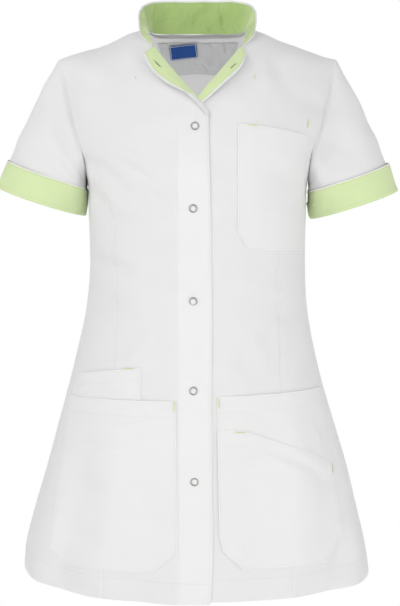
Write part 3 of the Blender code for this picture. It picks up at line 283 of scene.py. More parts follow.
# ------------------------------------------------------------------ folds laid in
# (sheet, x0, z0, x1, z1, width, height): a soft ridge (height > 0) or trough along a line, millimetres.
FOLDS = [
    # across the wearer's right breast, towards the second snap
    (-1, -112, -168, -22, -229, 8.0, -1.7), (-1, -108, -156, -30, -214, 9.0, 0.9), (-1, -92, -186, -30, -234, 9.0, 0.8),
    (-1, -60, -128, -20, -150, 9.0, -0.5), (-1, -66, -258, -22, -244, 8.0, -0.6),
    # from the armpits
    (-1, -150, -168, -96, -205, 9.0, -1.4), (-1, -146, -182, -104, -232, 9.0, 1.0), (-1, -141, -214, -98, -262, 10.0, -1.0),
    (-1, 150, -168, 118, -200, 9.0, -1.2), (-1, 146, -186, 120, -226, 9.0, 0.9),
    # below the shoulder seams and beside the collar
    (-1, -92, -28, -128, -92, 12.0, -0.9), (-1, -74, -44, -86, -116, 11.0, 0.7), (-1, 92, -30, 126, -96, 12.0, -0.8),
    (-1, -164, -60, -150, -128, 10.0, 0.9), (-1, 166, -62, 152, -120, 10.0, 0.8),
    # about the third and fourth snaps, where the fronts pull together
    (-1, -44, -340, 12, -352, 7.0, -0.7), (-1, -52, -368, 8, -361, 8.0, 0.6), (-1, 26, -352, 76, -336, 9.0, -0.7),
    (-1, 24, -366, 84, -362, 9.0, 0.5), (-1, -40, -462, 8, -470, 8.0, -0.5), (-1, 24, -466, 60, -458, 8.0, -0.5),
    # waist
    (-1, -142, -300, -84, -322, 11.0, -1.1), (-1, -143, -330, -92, -340, 11.0, 0.9), (-1, -144, -366, -98, -356, 12.0, -0.8),
    (-1, 141, -304, 92, -320, 11.0, -1.0), (-1, 141, -334, 96, -346, 11.0, 0.9), (-1, 142, -368, 100, -372, 12.0, -0.8),
    # down the skirt
    (-1, -112, -430, -132, -740, 22.0, 1.9), (-1, -158, -470, -190, -745, 20.0, -1.8), (-1, -66, -560, -74, -752, 24.0, -1.2),
    (-1, 108, -430, 126, -745, 22.0, 1.8), (-1, 154, -470, 186, -740, 20.0, -1.7), (-1, 62, -560, 70, -752, 24.0, -1.1),
    (-1, -196, -600, -214, -735, 16.0, 1.6), (-1, 190, -600, 208, -735, 16.0, 1.5),
    # pockets sag a little
    (-1, -150, -655, -60, -668, 13.0, 0.7), (-1, -120, -610, -52, -600, 12.0, -0.5), (-1, 60, -662, 150, -650, 13.0, 0.7),
    (-1, 74, -236, 130, -250, 10.0, 0.7), (-1, 70, -182, 120, -196, 12.0, -0.5),
    (-1, 34, -500, 92, -508, 5.0, -0.7), (-1, 60, -548, 128, -578, 6.0, 0.8), (-1, 34, -556, 84, -566, 6.0, -0.8),
    (-1, -40, -506, -112, -520, 6.0, 0.7), (-1, -60, -536, -150, -556, 7.0, -0.7), (-1, 120, -560, 168, -596, 6.0, -0.8),
    (-1, 40, -640, 66, -700, 6.0, 0.6), (-1, -60, -690, -120, -700, 6.0, -0.6), (-1, 150, -520, 166, -560, 6.0, 0.6),
    (-1, -60, -400, -100, -440, 9.0, 0.9), (-1, 60, -395, 96, -450, 9.0, 0.9), (-1, 40, -420, 74, -458, 7.0, -0.7),
    # back
    (1, -150, -170, -62, -250, 11.0, -1.6), (1, -140, -196, -54, -282, 11.0, 1.3), (1, -130, -240, -40, -312, 12.0, -1.2),
    (1, 150, -168, 66, -246, 11.0, -1.5), (1, 142, -200, 48, -276, 11.0, 1.2), (1, 128, -236, 36, -320, 12.0, -1.3),
    (1, -142, -306, -52, -330, 12.0, -1.5), (1, 142, -312, 40, -336, 12.0, -1.6), (1, -134, -346, 10, -352, 13.0, 1.4),
    (1, 136, -352, 30, -366, 13.0, 1.2), (1, -120, -386, -20, -378, 13.0, -1.3), (1, 126, -392, 34, -394, 13.0, -1.1),
    (1, -60, -60, -96, -150, 14.0, -1.2), (1, 62, -62, 92, -148, 14.0, -1.1), (1, 0, -70, 4, -180, 18.0, -0.9),
    (1, -86, -420, -112, -735, 24.0, 2.4), (1, -30, -430, -36, -735, 24.0, -2.2), (1, 34, -425, 46, -735, 24.0, 2.3),
    (1, 96, -430, 122, -735, 24.0, -2.2), (1, -150, -470, -186, -730, 20.0, -2.0), (1, 150, -470, 184, -735, 20.0, 2.0),
    (1, -196, -600, -216, -725, 16.0, 1.5), (1, 204, -600, 214, -730, 16.0, -1.4),
]
rng = np.random.default_rng(11)
WAVES = [(rng.uniform(0, 2 * np.pi), rng.uniform(0, 2 * np.pi), rng.uniform(26, 70)) for _ in range(14)]


def ripple(x, z, seed=0.0):
    """Slight unevenness of pressed cloth; x and z in metres, result in metres."""
    out = np.zeros(np.shape(x))
    for th, ph, wl in WAVES:
        out = out + (wl / 45) * np.sin(2 * np.pi * 1000 / wl * (x * np.cos(th) + z * np.sin(th)) + ph + seed * 3.7)
    return out * 0.00019


def folds(sheet, x, z):
    """How far the cloth stands out from its plain form, metres."""
    x, z = np.asarray(x, float), np.asarray(z, float)
    out = ripple(x, z, sheet)
    mx, mz = x * 1000, z * 1000
    for sh, x0, z0, x1, z1, w, h in FOLDS:
        if sh != sheet:
            continue
        dx, dz = x1 - x0, z1 - z0
        ll = math.hypot(dx, dz)
        t = ((mx - x0) * dx + (mz - z0) * dz) / ll**2
        bend = 0.05 * ll * np.sin(np.clip(t, 0, 1) * np.pi)
        c = ((mx - x0) * -dz + (mz - z0) * dx) / ll - bend
        ends = step(t, -0.15, 0.30) * (1 - step(t, 0.70, 1.15))
        if z1 < -700:
            ends = step(t, -0.10, 0.60)
        out = out + 2.0 * h / 1000 * ends * (np.exp(-(c / w) ** 2) - 0.30 * np.exp(-((c - 1.7 * w) / (1.3 * w)) ** 2)
                                       - 0.30 * np.exp(-((c + 1.7 * w) / (1.3 * w)) ** 2))
    # nothing at the side seams, so that front and back meet
    width, _, _ = ring(z, x, sheet)
    calm = 1 - step(np.abs(x) / width, 0.93, 0.995)
    if sheet < 0:
        calm = calm * (1 - 0.7 * step(z, -0.130, -0.095) * (1 - step(np.abs(x), 0.070, 0.100)))
    return out * calm


def lie(sheet, x, z, up):
    """Points and normals of the cloth at x and z, up metres above its middle."""
    a, d = chart(sheet, x, z)
    p, n = body(sheet, a, d), outward(sheet, a, d)
    return p + n * (folds(sheet, p[..., 0], p[..., 2]) + up)[..., None], n


# ------------------------------------------------------------------ materials
def nodes_of(name):
    m = bpy.data.materials.new(name)
    m.use_nodes = True
    nt = m.node_tree
    return m, nt, nt.nodes["Principled BSDF"]


def link(nt, a, b):
    nt.links.new(a, b)


def math_node(nt, op, a, b=None, c=None):
    n = nt.nodes.new("ShaderNodeMath")
    n.operation = op
    for i, v in enumerate((a, b, c)):
        if v is None:
            continue
        if isinstance(v, (int, float)):
            n.inputs[i].default_value = v
        else:
            link(nt, v, n.inputs[i])
    return n.outputs[0]


def cloth_material(name, colour, dark, pitch=0.00042, rough=0.86, sheen=0.25, grain=0.00005, edge_groove=True, mottle=0.035, ridge=0.0, band=None, crumple=0.0, painted_light_front=None):
    """Plain-woven poplin: two thread directions, slubs, a stitched groove along the sewn edges, darkened in colour as
    painted shade, and puckers beside them.
    """
    m, nt, p = nodes_of(name)
    uv = nt.nodes.new("ShaderNodeUVMap"); uv.uv_map = "cloth"
    sep = nt.nodes.new("ShaderNodeSeparateXYZ"); link(nt, uv.outputs[0], sep.inputs[0])
    u, v = sep.outputs[0], sep.outputs[1]
    warp = math_node(nt, "SINE", math_node(nt, "MULTIPLY", u, 2 * math.pi / pitch))
    weft = math_node(nt, "SINE", math_node(nt, "MULTIPLY", v, 2 * math.pi / (pitch * 1.15)))
    weave = math_node(nt, "ADD", math_node(nt, "MULTIPLY", warp, 0.5), math_node(nt, "MULTIPLY", weft, 0.5))
    # slubs: long thin noise along both thread directions
    def streak(sx, sy, scale):
        mp = nt.nodes.new("ShaderNodeMapping"); mp.inputs["Scale"].default_value = (sx, sy, 1)
        link(nt, uv.outputs[0], mp.inputs["Vector"])
        no = nt.nodes.new("ShaderNodeTexNoise"); no.inputs["Scale"].default_value = scale
        no.inputs["Detail"].default_value = 2.0
        link(nt, mp.outputs[0], no.inputs["Vector"])
        return no.outputs[0]
    slub_u = streak(22.0, 1.0, 60.0)
    slub_v = streak(1.0, 22.0, 60.0)
    slub = math_node(nt, "ADD", slub_u, slub_v)
    obj = nt.nodes.new("ShaderNodeTexCoord")
    big = nt.nodes.new("ShaderNodeTexNoise"); big.inputs["Scale"].default_value = 9.0; big.inputs["Detail"].default_value = 3.0
    link(nt, obj.outputs["Object"], big.inputs["Vector"])
    mid = nt.nodes.new("ShaderNodeTexNoise"); mid.inputs["Scale"].default_value = 55.0; mid.inputs["Detail"].default_value = 3.0
    link(nt, obj.outputs["Object"], mid.inputs["Vector"])
    # colour: slightly darker in the slubs and mottled
    tone = math_node(nt, "MULTIPLY_ADD", slub, 0.5, -0.35)
    tone = math_node(nt, "ADD", tone, math_node(nt, "MULTIPLY_ADD", big.outputs[0], 1.2, -0.35))
    mix = nt.nodes.new("ShaderNodeMix"); mix.data_type = "RGBA"
    mix.inputs[6].default_value = (*colour, 1); mix.inputs[7].default_value = (*dark, 1)
    link(nt, math_node(nt, "MULTIPLY", tone, mottle * 14), mix.inputs[0])
    mix.clamp_factor = True
    base = mix.outputs[2]
    if painted_light_front:                      # painted light: towards the front the cloth is painted lighter than behind the neck
        fy = nt.nodes.new("ShaderNodeSeparateXYZ"); link(nt, obj.outputs["Object"], fy.inputs[0])
        fr = nt.nodes.new("ShaderNodeMapRange"); fr.inputs["From Min"].default_value = 0.050; fr.inputs["From Max"].default_value = 0.020
        link(nt, fy.outputs[1], fr.inputs["Value"])
        fm = nt.nodes.new("ShaderNodeMix"); fm.data_type = "RGBA"; fm.inputs[7].default_value = (*painted_light_front, 1)
        link(nt, fr.outputs[0], fm.inputs[0]); link(nt, base, fm.inputs[6])
        base = fm.outputs[2]
    # distance to the nearest sewn edge, metres
    at = nt.nodes.new("ShaderNodeAttribute"); at.attribute_name = "sewn"
    sewn = at.outputs["Fac"]
    if band:                       # more layers under the band let less light through, so it is paler; partly this paler colour is painted light as well
        fa = nt.nodes.new("ShaderNodeAttribute"); fa.attribute_name = "band"
        lighter = nt.nodes.new("ShaderNodeMix"); lighter.data_type = "RGBA"
        lighter.inputs[7].default_value = (*band, 1)
        link(nt, fa.outputs["Fac"], lighter.inputs[0]); link(nt, base, lighter.inputs[6])
        base = lighter.outputs[2]
    if ridge:                      # and so do the seam allowances; partly this paleness is a painted highlight along the seam ridges
        near_edge = math_node(nt, "EXPONENT", math_node(nt, "MULTIPLY", math_node(nt, "POWER", math_node(nt, "MULTIPLY", sewn, 1 / 0.0020), 2.0), -1.0))
        pale = nt.nodes.new("ShaderNodeMix"); pale.data_type = "RGBA"
        pale.inputs[7].default_value = (0.93, 0.93, 0.925, 1)
        link(nt, math_node(nt, "MULTIPLY", near_edge, ridge), pale.inputs[0]); link(nt, base, pale.inputs[6])
        base = pale.outputs[2]
    puck = nt.nodes.new("ShaderNodeTexNoise"); puck.inputs["Scale"].default_value = 105.0; puck.inputs["Detail"].default_value = 1.0
    link(nt, uv.outputs[0], puck.inputs["Vector"])
    near = math_node(nt, "EXPONENT", math_node(nt, "MULTIPLY", sewn, -1 / 0.0055))
    pucker = math_node(nt, "MULTIPLY", math_node(nt, "SUBTRACT", puck.outputs[0], 0.5), near)
    groove = None
    if edge_groove:
        def trench(dist):
            off = math_node(nt, "MULTIPLY", dist, 1 / 0.0006)
            return math_node(nt, "EXPONENT", math_node(nt, "MULTIPLY", math_node(nt, "MULTIPLY", off, off), -1.0))
        groove = trench(math_node(nt, "SUBTRACT", sewn, 0.0021))
        for extra in ("line_a", "line_b"):
            la = nt.nodes.new("ShaderNodeAttribute"); la.attribute_name = extra
            groove = math_node(nt, "MAXIMUM", groove, math_node(nt, "MULTIPLY", trench(la.outputs["Fac"]), 0.4 if extra == "line_a" else 0.7))
        # painted shade: the colour is darkened along the stitched grooves and lines, where the bump below sinks the
        # cloth
        shade = nt.nodes.new("ShaderNodeMix"); shade.data_type = "RGBA"; shade.blend_type = "MULTIPLY"
        shade.inputs[7].default_value = (0.955, 0.955, 0.952, 1)
        link(nt, base, shade.inputs[6]); link(nt, math_node(nt, "MULTIPLY", groove, 0.8), shade.inputs[0])
        base = shade.outputs[2]
    link(nt, base, p.inputs["Base Color"])
    rn = math_node(nt, "MULTIPLY_ADD", mid.outputs[0], 0.12, rough - 0.06)
    link(nt, rn, p.inputs["Roughness"])
    p.inputs["Sheen Weight"].default_value = sheen
    p.inputs["Sheen Roughness"].default_value = 0.5
    p.inputs["Specular IOR Level"].default_value = 0.25
    # bump, coarse first
    b1 = nt.nodes.new("ShaderNodeBump"); b1.inputs["Distance"].default_value = 0.0009; b1.inputs["Strength"].default_value = 0.9
    link(nt, math_node(nt, "ADD", pucker, math_node(nt, "MULTIPLY", math_node(nt, "SUBTRACT", mid.outputs[0], 0.5), 0.16)), b1.inputs["Height"])
    if crumple:
        cm = nt.nodes.new("ShaderNodeMapping"); cm.inputs["Scale"].default_value = (1.0, 0.55, 1.0); cm.inputs["Rotation"].default_value = (0, 0, 0.5)
        link(nt, uv.outputs[0], cm.inputs["Vector"])
        cn = nt.nodes.new("ShaderNodeTexNoise"); cn.inputs["Scale"].default_value = 62.0; cn.inputs["Detail"].default_value = 1.5
        cn.inputs["Distortion"].default_value = 0.8
        link(nt, cm.outputs[0], cn.inputs["Vector"])
        b0 = nt.nodes.new("ShaderNodeBump"); b0.inputs["Distance"].default_value = crumple; b0.inputs["Strength"].default_value = 1.0
        link(nt, cn.outputs[0], b0.inputs["Height"]); link(nt, b0.outputs[0], b1.inputs["Normal"])
    b2 = nt.nodes.new("ShaderNodeBump"); b2.inputs["Distance"].default_value = 0.00016; b2.inputs["Strength"].default_value = 0.6
    if groove is not None:
        link(nt, math_node(nt, "MULTIPLY", groove, -1.0), b2.inputs["Height"])
    link(nt, b1.outputs[0], b2.inputs["Normal"])
    b3 = nt.nodes.new("ShaderNodeBump"); b3.inputs["Distance"].default_value = grain; b3.inputs["Strength"].default_value = 0.7
    link(nt, math_node(nt, "ADD", math_node(nt, "MULTIPLY", weave, 0.6), math_node(nt, "MULTIPLY", slub, 1.2)), b3.inputs["Height"])
    link(nt, b2.outputs[0] if groove is not None else b1.outputs[0], b3.inputs["Normal"])
    link(nt, b3.outputs[0], p.inputs["Normal"])
    return m


# seam allowances and the band strip are painted paler, partly for more layers of cloth and partly as painted light
WHITE = cloth_material("white_cloth_fine", (0.795, 0.795, 0.795), (0.765, 0.765, 0.767), ridge=0.20, band=(0.832, 0.832, 0.830))
WHITE_POCKET = cloth_material("white_pocket_fine", (0.818, 0.818, 0.816), (0.788, 0.788, 0.788), ridge=0.45)
LIME = cloth_material("lime_cloth_fine", (0.680, 0.800, 0.450), (0.635, 0.755, 0.405))
# the collar's inside: the lime cloth painted darker as painted shade, and painted lighter towards the front as painted
# light
LIME_PAINTED_SHADE = cloth_material("lime_inner_painted_shade", (0.425, 0.575, 0.215), (0.380, 0.525, 0.180), crumple=0.0042, painted_light_front=(0.600, 0.735, 0.370))
# white cloth inside the back neck, painted grey as painted shade: the facing, the tape and the piping cords
INSIDE_PAINTED_SHADE = cloth_material("inside_cloth_painted_shade", (0.600, 0.600, 0.612), (0.560, 0.560, 0.572), crumple=0.0050)
TAPE_PAINTED_SHADE = cloth_material("inside_tape_painted_shade", (0.510, 0.510, 0.520), (0.480, 0.480, 0.490), edge_groove=False)
CORD_PAINTED_SHADE = cloth_material("inside_cord_painted_shade", (0.450, 0.450, 0.455), (0.415, 0.415, 0.420), edge_groove=False)
WHITE_TRIM = cloth_material("white_trim_fine", (0.850, 0.850, 0.845), (0.815, 0.815, 0.810), edge_groove=False)
BLUE = cloth_material("label_satin", (0.006, 0.058, 0.262), (0.005, 0.050, 0.238), pitch=0.00025, rough=0.55, sheen=0.02, grain=0.00003, edge_groove=True)


def thread_material(name, colour, dark):
    m, nt, p = nodes_of(name)
    obj = nt.nodes.new("ShaderNodeTexCoord")
    w = nt.nodes.new("ShaderNodeTexNoise"); w.inputs["Scale"].default_value = 2400.0; w.inputs["Detail"].default_value = 1.0
    link(nt, obj.outputs["Object"], w.inputs["Vector"])
    mix = nt.nodes.new("ShaderNodeMix"); mix.data_type = "RGBA"
    mix.inputs[6].default_value = (*colour, 1); mix.inputs[7].default_value = (*dark, 1)
    link(nt, w.outputs[0], mix.inputs[0])
    link(nt, mix.outputs[2], p.inputs["Base Color"])
    link(nt, math_node(nt, "MULTIPLY_ADD", w.outputs[0], 0.2, 0.5), p.inputs["Roughness"])
    b = nt.nodes.new("ShaderNodeBump"); b.inputs["Distance"].default_value = 0.00006
    link(nt, w.outputs[0], b.inputs["Height"]); link(nt, b.outputs[0], p.inputs["Normal"])
    p.inputs["Sheen Weight"].default_value = 0.3
    return m


THREAD = thread_material("thread_white", (0.74, 0.74, 0.74), (0.66, 0.66, 0.66))
THREAD_LIME = thread_material("thread_lime", (0.56, 0.66, 0.36), (0.48, 0.58, 0.30))
THREAD_TACK = thread_material("thread_tack", (0.79, 0.80, 0.52), (0.71, 0.73, 0.43))
# painted shade: a near-black cord stands for the shade in the cut of each lapel slit
SLIT_PAINTED_SHADE = thread_material("slit_painted_shade", (0.16, 0.19, 0.13), (0.08, 0.10, 0.07))


def steel_material():
    m, nt, p = nodes_of("snap_nickel")
    obj = nt.nodes.new("ShaderNodeTexCoord")
    w = nt.nodes.new("ShaderNodeTexNoise"); w.inputs["Scale"].default_value = 900.0; w.inputs["Detail"].default_value = 4.0
    link(nt, obj.outputs["Object"], w.inputs["Vector"])
    r = nt.nodes.new("ShaderNodeMapRange"); r.inputs["To Min"].default_value = 0.20; r.inputs["To Max"].default_value = 0.38
    link(nt, w.outputs[0], r.inputs["Value"]); link(nt, r.outputs[0], p.inputs["Roughness"])
    mix = nt.nodes.new("ShaderNodeMix"); mix.data_type = "RGBA"
    mix.inputs[6].default_value = (0.50, 0.49, 0.47, 1); mix.inputs[7].default_value = (0.36, 0.35, 0.34, 1)
    link(nt, w.outputs[0], mix.inputs[0]); link(nt, mix.outputs[2], p.inputs["Base Color"])
    p.inputs["Metallic"].default_value = 1.0
    b = nt.nodes.new("ShaderNodeBump"); b.inputs["Distance"].default_value = 0.00004
    link(nt, w.outputs[0], b.inputs["Height"]); link(nt, b.outputs[0], p.inputs["Normal"])
    return m


STEEL = steel_material()


# ------------------------------------------------------------------ mesh makers
REPORT = []


def new_object(name, verts, faces, material, uv=None, sewn=None, smooth=True):
    mesh = bpy.data.meshes.new(name)
    verts = np.asarray(verts, float)
    mesh.from_pydata(verts.tolist(), [], [tuple(int(i) for i in f) for f in faces])
    mesh.update()
    if isinstance(material, (list, tuple)):
        for m in material:
            mesh.materials.append(m)
    else:
        mesh.materials.append(material)
    if uv is not None:
        layer = mesh.uv_layers.new(name="cloth")
        idx = np.empty(len(mesh.loops), np.int64)
        mesh.loops.foreach_get("vertex_index", idx)
        layer.data.foreach_set("uv", np.asarray(uv, np.float32)[idx].ravel())
    at = mesh.attributes.new("sewn", "FLOAT", "POINT")
    at.data.foreach_set("value", np.asarray(sewn if sewn is not None else np.full(len(verts), 0.05), np.float32))
    if smooth:
        mesh.shade_smooth()
        mesh.set_sharp_from_angle(angle=math.radians(50))
    obj = bpy.data.objects.new(name, mesh)
    scene.collection.objects.link(obj)
    return obj


def quads(rows, cols, closed=False):
    i, j = np.meshgrid(np.arange(rows - 1), np.arange(cols if closed else cols - 1), indexing="ij")
    k = (j + 1) % cols
    return np.stack([i * cols + j, i * cols + k, (i + 1) * cols + k, (i + 1) * cols + j], -1).reshape(-1, 4)


def lengths(P, axis):
    d = np.linalg.norm(np.diff(P, axis=axis), axis=-1)
    z = np.zeros([1 if i == axis else s for i, s in enumerate(P.shape[:2])])
    return np.cumsum(np.concatenate([z, d], axis=axis), axis=axis)


def taper(P, closed=False, sides=(1, 1, 1, 1), r=0.0007):
    """Thinner towards the free edges, so that a folded edge is round. sides: first row, last row, first column, last column."""
    rows, cols = P.shape[:2]
    f = np.ones((rows, cols))
    v, u = lengths(P, 0), lengths(P, 1)
    for k, dist in enumerate((v, v[-1:] - v, u, u[:, -1:] - u)):
        if not sides[k] or (closed and k > 1):
            continue
        q = np.clip(dist / r, 0, 1)
        f = np.minimum(f, 0.30 + 0.70 * np.sqrt(np.clip(1 - (1 - q) ** 2, 0, 1)))
    return f


def patch(P, N, thick=0.0008, closed=False, sewn=None, lines=None, sides=(1, 1, 1, 1)):
    """A thin closed wall of cloth round a grid of points, as arrays."""
    rows, cols = P.shape[:2]
    f = taper(P, closed, sides)[..., None] * thick / 2
    gu = (np.roll(P, -1, 1) - np.roll(P, 1, 1)) if closed else np.gradient(P, axis=1)
    T = np.cross(gu, np.gradient(P, axis=0))
    size = np.linalg.norm(T, axis=-1, keepdims=True)
    T = T / np.maximum(size, 1e-16)
    T = T * (-1 if np.sum(T * N) < 0 else 1)
    T = np.where(size < 1e-13, N, T)
    outer, inner = (P + T * f).reshape(-1, 3), (P - T * f).reshape(-1, 3)
    n = rows * cols
    q = quads(rows, cols, closed)
    a, b, c = outer[q[:, 0]], outer[q[:, 1]], outer[q[:, 2]]
    if np.sum(np.cross(b - a, c - a) * T.reshape(-1, 3)[q[:, 0]]) < 0:
        q = q[:, ::-1]
    edges = np.concatenate([q[:, [0, 1]], q[:, [1, 2]], q[:, [2, 3]], q[:, [3, 0]]])
    rim = edges[~np.isin(edges[:, 0] * n + edges[:, 1], edges[:, 1] * n + edges[:, 0])]
    faces = np.concatenate([q, q[:, ::-1] + n, np.stack([rim[:, 1], rim[:, 0], rim[:, 0] + n, rim[:, 1] + n], -1)])
    u, v = lengths(P, 1), lengths(P, 0)
    uv = np.stack([u, v], -1).reshape(-1, 2)
    values = {}
    for key, value in (("sewn", np.full((rows, cols), 0.05) if sewn is None else sewn), *(lines or {}).items()):
        values[key] = np.tile(np.broadcast_to(value, (rows, cols)).reshape(-1), 2)
    PP = np.concatenate([P, P[:, :1]], 1) if closed else P
    e1, e2 = np.diff(PP, axis=1)[:-1], np.diff(PP, axis=0)[:, :-1]
    area = float(np.linalg.norm(np.cross(e1, e2), axis=-1).sum())
    return {"v": np.concatenate([outer, inner]), "f": faces, "uv": np.concatenate([uv, uv]), "values": values,
            "area": area, "size": (float(lengths(PP, 1)[:, -1].max()), float(lengths(PP, 0)[-1].max())), "q": len(q)}


def cloth(name, patches, material, node=None, declare=True, flat=None):
    """One piece of cloth of one or more grids; patches after the first continue the same cut."""
    verts, faces, uv, start = [], [], [], 0
    keys = sorted({k for p in patches for k in p["values"]})
    values = {k: [] for k in keys}
    for p in patches:
        verts.append(p["v"]); faces.append(p["f"] + start); uv.append(p["uv"])
        for k in keys:
            values[k].append(p["values"].get(k, np.full(len(p["v"]), DEFAULTS[k])))
        start += len(p["v"])
    mesh = bpy.data.meshes.new(name + "_cloth")
    verts, faces, uv = np.concatenate(verts), np.concatenate(faces), np.concatenate(uv)
    mesh.from_pydata(verts.tolist(), [], faces.tolist())
    mesh.update()
    mesh.materials.append(material)
    layer = mesh.uv_layers.new(name="cloth")
    idx = np.empty(len(mesh.loops), np.int64)
    mesh.loops.foreach_get("vertex_index", idx)
    layer.data.foreach_set("uv", uv.astype(np.float32)[idx].ravel())
    for k, usual in DEFAULTS.items():
        value = np.concatenate(values[k]) if k in values else np.full(len(verts), usual)
        mesh.attributes.new(k, "FLOAT", "POINT").data.foreach_set("value", value.astype(np.float32))
    mesh.shade_smooth()
    mesh.set_sharp_from_angle(angle=math.radians(60))
    obj = bpy.data.objects.new(name + "_cloth", mesh)
    scene.collection.objects.link(obj)
    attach(obj, "root")
    if node:
        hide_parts(node)
    if declare:
        area = sum(p["area"] for p in patches)
        w, l = flat or patches[0]["size"]
        w, l = max(w, 0.011), max(l, 0.011)
        while area > w * l:
            w, l = w * 1.02, l * 1.02
    return obj


TRIM = {}
DEFAULTS = {"sewn": 0.05, "line_a": 1.0, "line_b": 1.0, "band": 0.0}


def spaced(length, pitch, fine=(1, 1)):
    """Shares 0..1 along a run of that length: pitch apart, with close ones at a folded edge."""
    near = np.array([0.00025, 0.0007, 0.0014, 0.0026])
    start = near if fine[0] else np.array([])
    end = length - near[::-1] if fine[1] else np.array([])
    lo = near[-1] if fine[0] else 0.0
    hi = length - near[-1] if fine[1] else length
    n = max(2, int(round((hi - lo) / pitch)))
    mid = np.linspace(lo, hi, n + 1)
    full = np.concatenate([[0.0], start[:-1], mid, end[1:], [length]]) if fine[0] or fine[1] else mid
    return np.unique(np.round(full / length, 9))


# ------------------------------------------------------------------ the panels' seams, as in part.py but fine
ROWS, CAP, CAP_BACK, SIDE_COLS, ROLL_ROWS = 15, 7, 8, 5, 4
FIRST = {-1: 0.0, 1: 0.85}
NECK_T = np.array([0.0, 0.10, 0.20, 0.29, 0.37, 0.45, 0.53, 0.62, 0.75, 0.88, 1.0])
LAPEL_R = np.array([(0, -69.1, -33.8, 4.6), (.25, -56.2, -56.5, 7.4), (.5, -37.1, -73.4, 7.0), (.75, -10.9, -87.7, 3.8),
                    (1, 14.5, -114.3, .4)])
LAPEL_L = np.array([(0, 61.5, -34.5, 4.4), (.10, 56.3, -48.5, 6.2), (.32, 36.7, -69.7, 6.4), (.52, 19.1, -85.2, 2.8),
                    (.68, 5.0, -97.0, 0.3), (.80, -6.0, -104.0, 0.0)])
THICK = 0.0008


def side_d(sheet, side, z):
    return d_of(sheet, across_x(sheet, np.full(np.shape(z), side * 1.0), z), z)


def armhole_segments(side):
    """Front, under the arm, back: each (sheet, share, a, d, run in metres)."""
    z_tip = float(shoulder_z(TIP_X))
    out = []
    for sheet, z0, z1 in ((-1, z_tip, SPLIT_Z), (-1, SPLIT_Z, ARMPIT_Z), (1, ARMPIT_Z, z_tip)):
        s = np.linspace(0, 1, 401)
        ease = s**2 if z0 == z_tip else 1 - (1 - s)**2
        z = z0 + (z1 - z0) * ease
        a, d = chart(sheet, side * armhole(sheet, z), z)
        d = np.where(z == z_tip, 0.0, d)
        pit = z == ARMPIT_Z
        a = np.where(pit, side * 1.0, a)
        d = np.where(pit, side_d(sheet, side, np.full(z.shape, ARMPIT_Z)), d)
        p = body(sheet, a, d)
        run = np.concatenate([[0], np.cumsum(np.linalg.norm(np.diff(p, axis=0), axis=1))])
        out.append((sheet, run / run[-1], a, d, float(run[-1])))
    return out


HOLES = {s: armhole_segments(s) for s in (-1, 1)}


def hole_at(side, k, share):
    _, r, a, d, _ = HOLES[side][k]
    return np.interp(share, r, a), np.interp(share, r, d)


def roll_line(side, s):
    nx, _ = neck_plan(np.array([1.0]))
    notch = neck_points(side, np.array([1.0]))[3][0]
    x1, z1 = (BREAK_X, BREAK_Z) if side < 0 else (UNDER_X, V_Z + (V_X - UNDER_X) * (V_Z - notch[2]) / (notch[0] - V_X))
    bow = 0.0015 * np.sin(s * np.pi)
    return x1 + (notch[0] - x1) * s + side * bow * 0.7, z1 + (notch[2] - z1) * s - bow * 0.7


def front_inner(side, i):
    rx, rz = roll_line(side, np.clip((i - ROWS) / ROLL_ROWS, 0, 1))
    z_hem = float(hem_z(-1, np.array([0.0]), side)[0])
    z = z_hem + (roll_line(side, np.array([0.0]))[1][0] - z_hem) * np.clip(i / ROWS, 0, 1)
    x = np.where(i < ROWS, edge_x(z) if side < 0 else UNDER_X, rx)
    a, d = chart(-1, x, np.where(i < ROWS, z, rz))
    t = np.interp(i, ROWS + ROLL_ROWS + np.arange(4), [1.0, 0.88, 0.75, 0.62])
    _, na, nd, _, _ = neck_points(side, t)
    up = i > ROWS + ROLL_ROWS
    return np.where(up, na, a), np.where(up, nd, d)


def front_outer(side, i):
    z_hem = float(hem_z(-1, np.array([side * 0.55]))[0])
    k = np.clip(i / ROWS, 0, 1)
    z_low = z_hem
    for _ in range(8):
        a, _d = chart(-1, side * princess_x(z_low), z_low)
        z_low = float(hem_z(-1, a, side))
    # the lowest row runs to the hem's own height there
    z = z_hem + (SPLIT_Z - z_hem) * k
    z = z + (z_low - z_hem) * np.clip(1 - i, 0, 1)
    a, d = chart(-1, side * princess_x(z), z)
    ha, hd = hole_at(side, 0, 1 - np.clip((i - ROWS) / CAP, 0, 1))
    up = i >= ROWS
    return np.where(up, ha, a), np.where(up, hd, d)


def row_shares(curve_of, last, pitch, fine=(1, 1)):
    """Values of the row number i at even steps in length, with close ones at the ends."""
    i = np.linspace(0, last, last * 24 + 1)
    p = curve_of(i)
    run = np.concatenate([[0], np.cumsum(np.linalg.norm(np.diff(p, axis=0), axis=1))])
    return np.interp(spaced(run[-1], pitch, fine) * run[-1], run, i)


def sewn_from(P, sides, closed=False):
    """Distance to the nearest sewn edge: first row, last row, first column, last column."""
    v, u = lengths(P, 0), lengths(P, 1)
    out = np.full(P.shape[:2], 0.05)
    for k, dist in enumerate((v, v[-1:] - v, u, u[:, -1:] - u)):
        if sides[k]:
            out = np.minimum(out, dist)
    return out


def tuck(P, N, sides, depth=0.00024, reach=0.0035):
    """Let the cloth dip into its seams."""
    v, u = lengths(P, 0), lengths(P, 1)
    dip = np.zeros(P.shape[:2])
    for k, dist in enumerate((v, v[-1:] - v, u, u[:, -1:] - u)):
        if sides[k]:
            dip = np.maximum(dip, np.exp(-(dist / reach) ** 2))
    return P - N * (dip * depth)[..., None]


def band_lift(x, z):
    """The fly band is several layers thick, so it stands a little higher."""
    return 0.00042 * step(x, BAND_X - 0.0022, BAND_X + 0.0022) * step(-z, 0.060, 0.085)


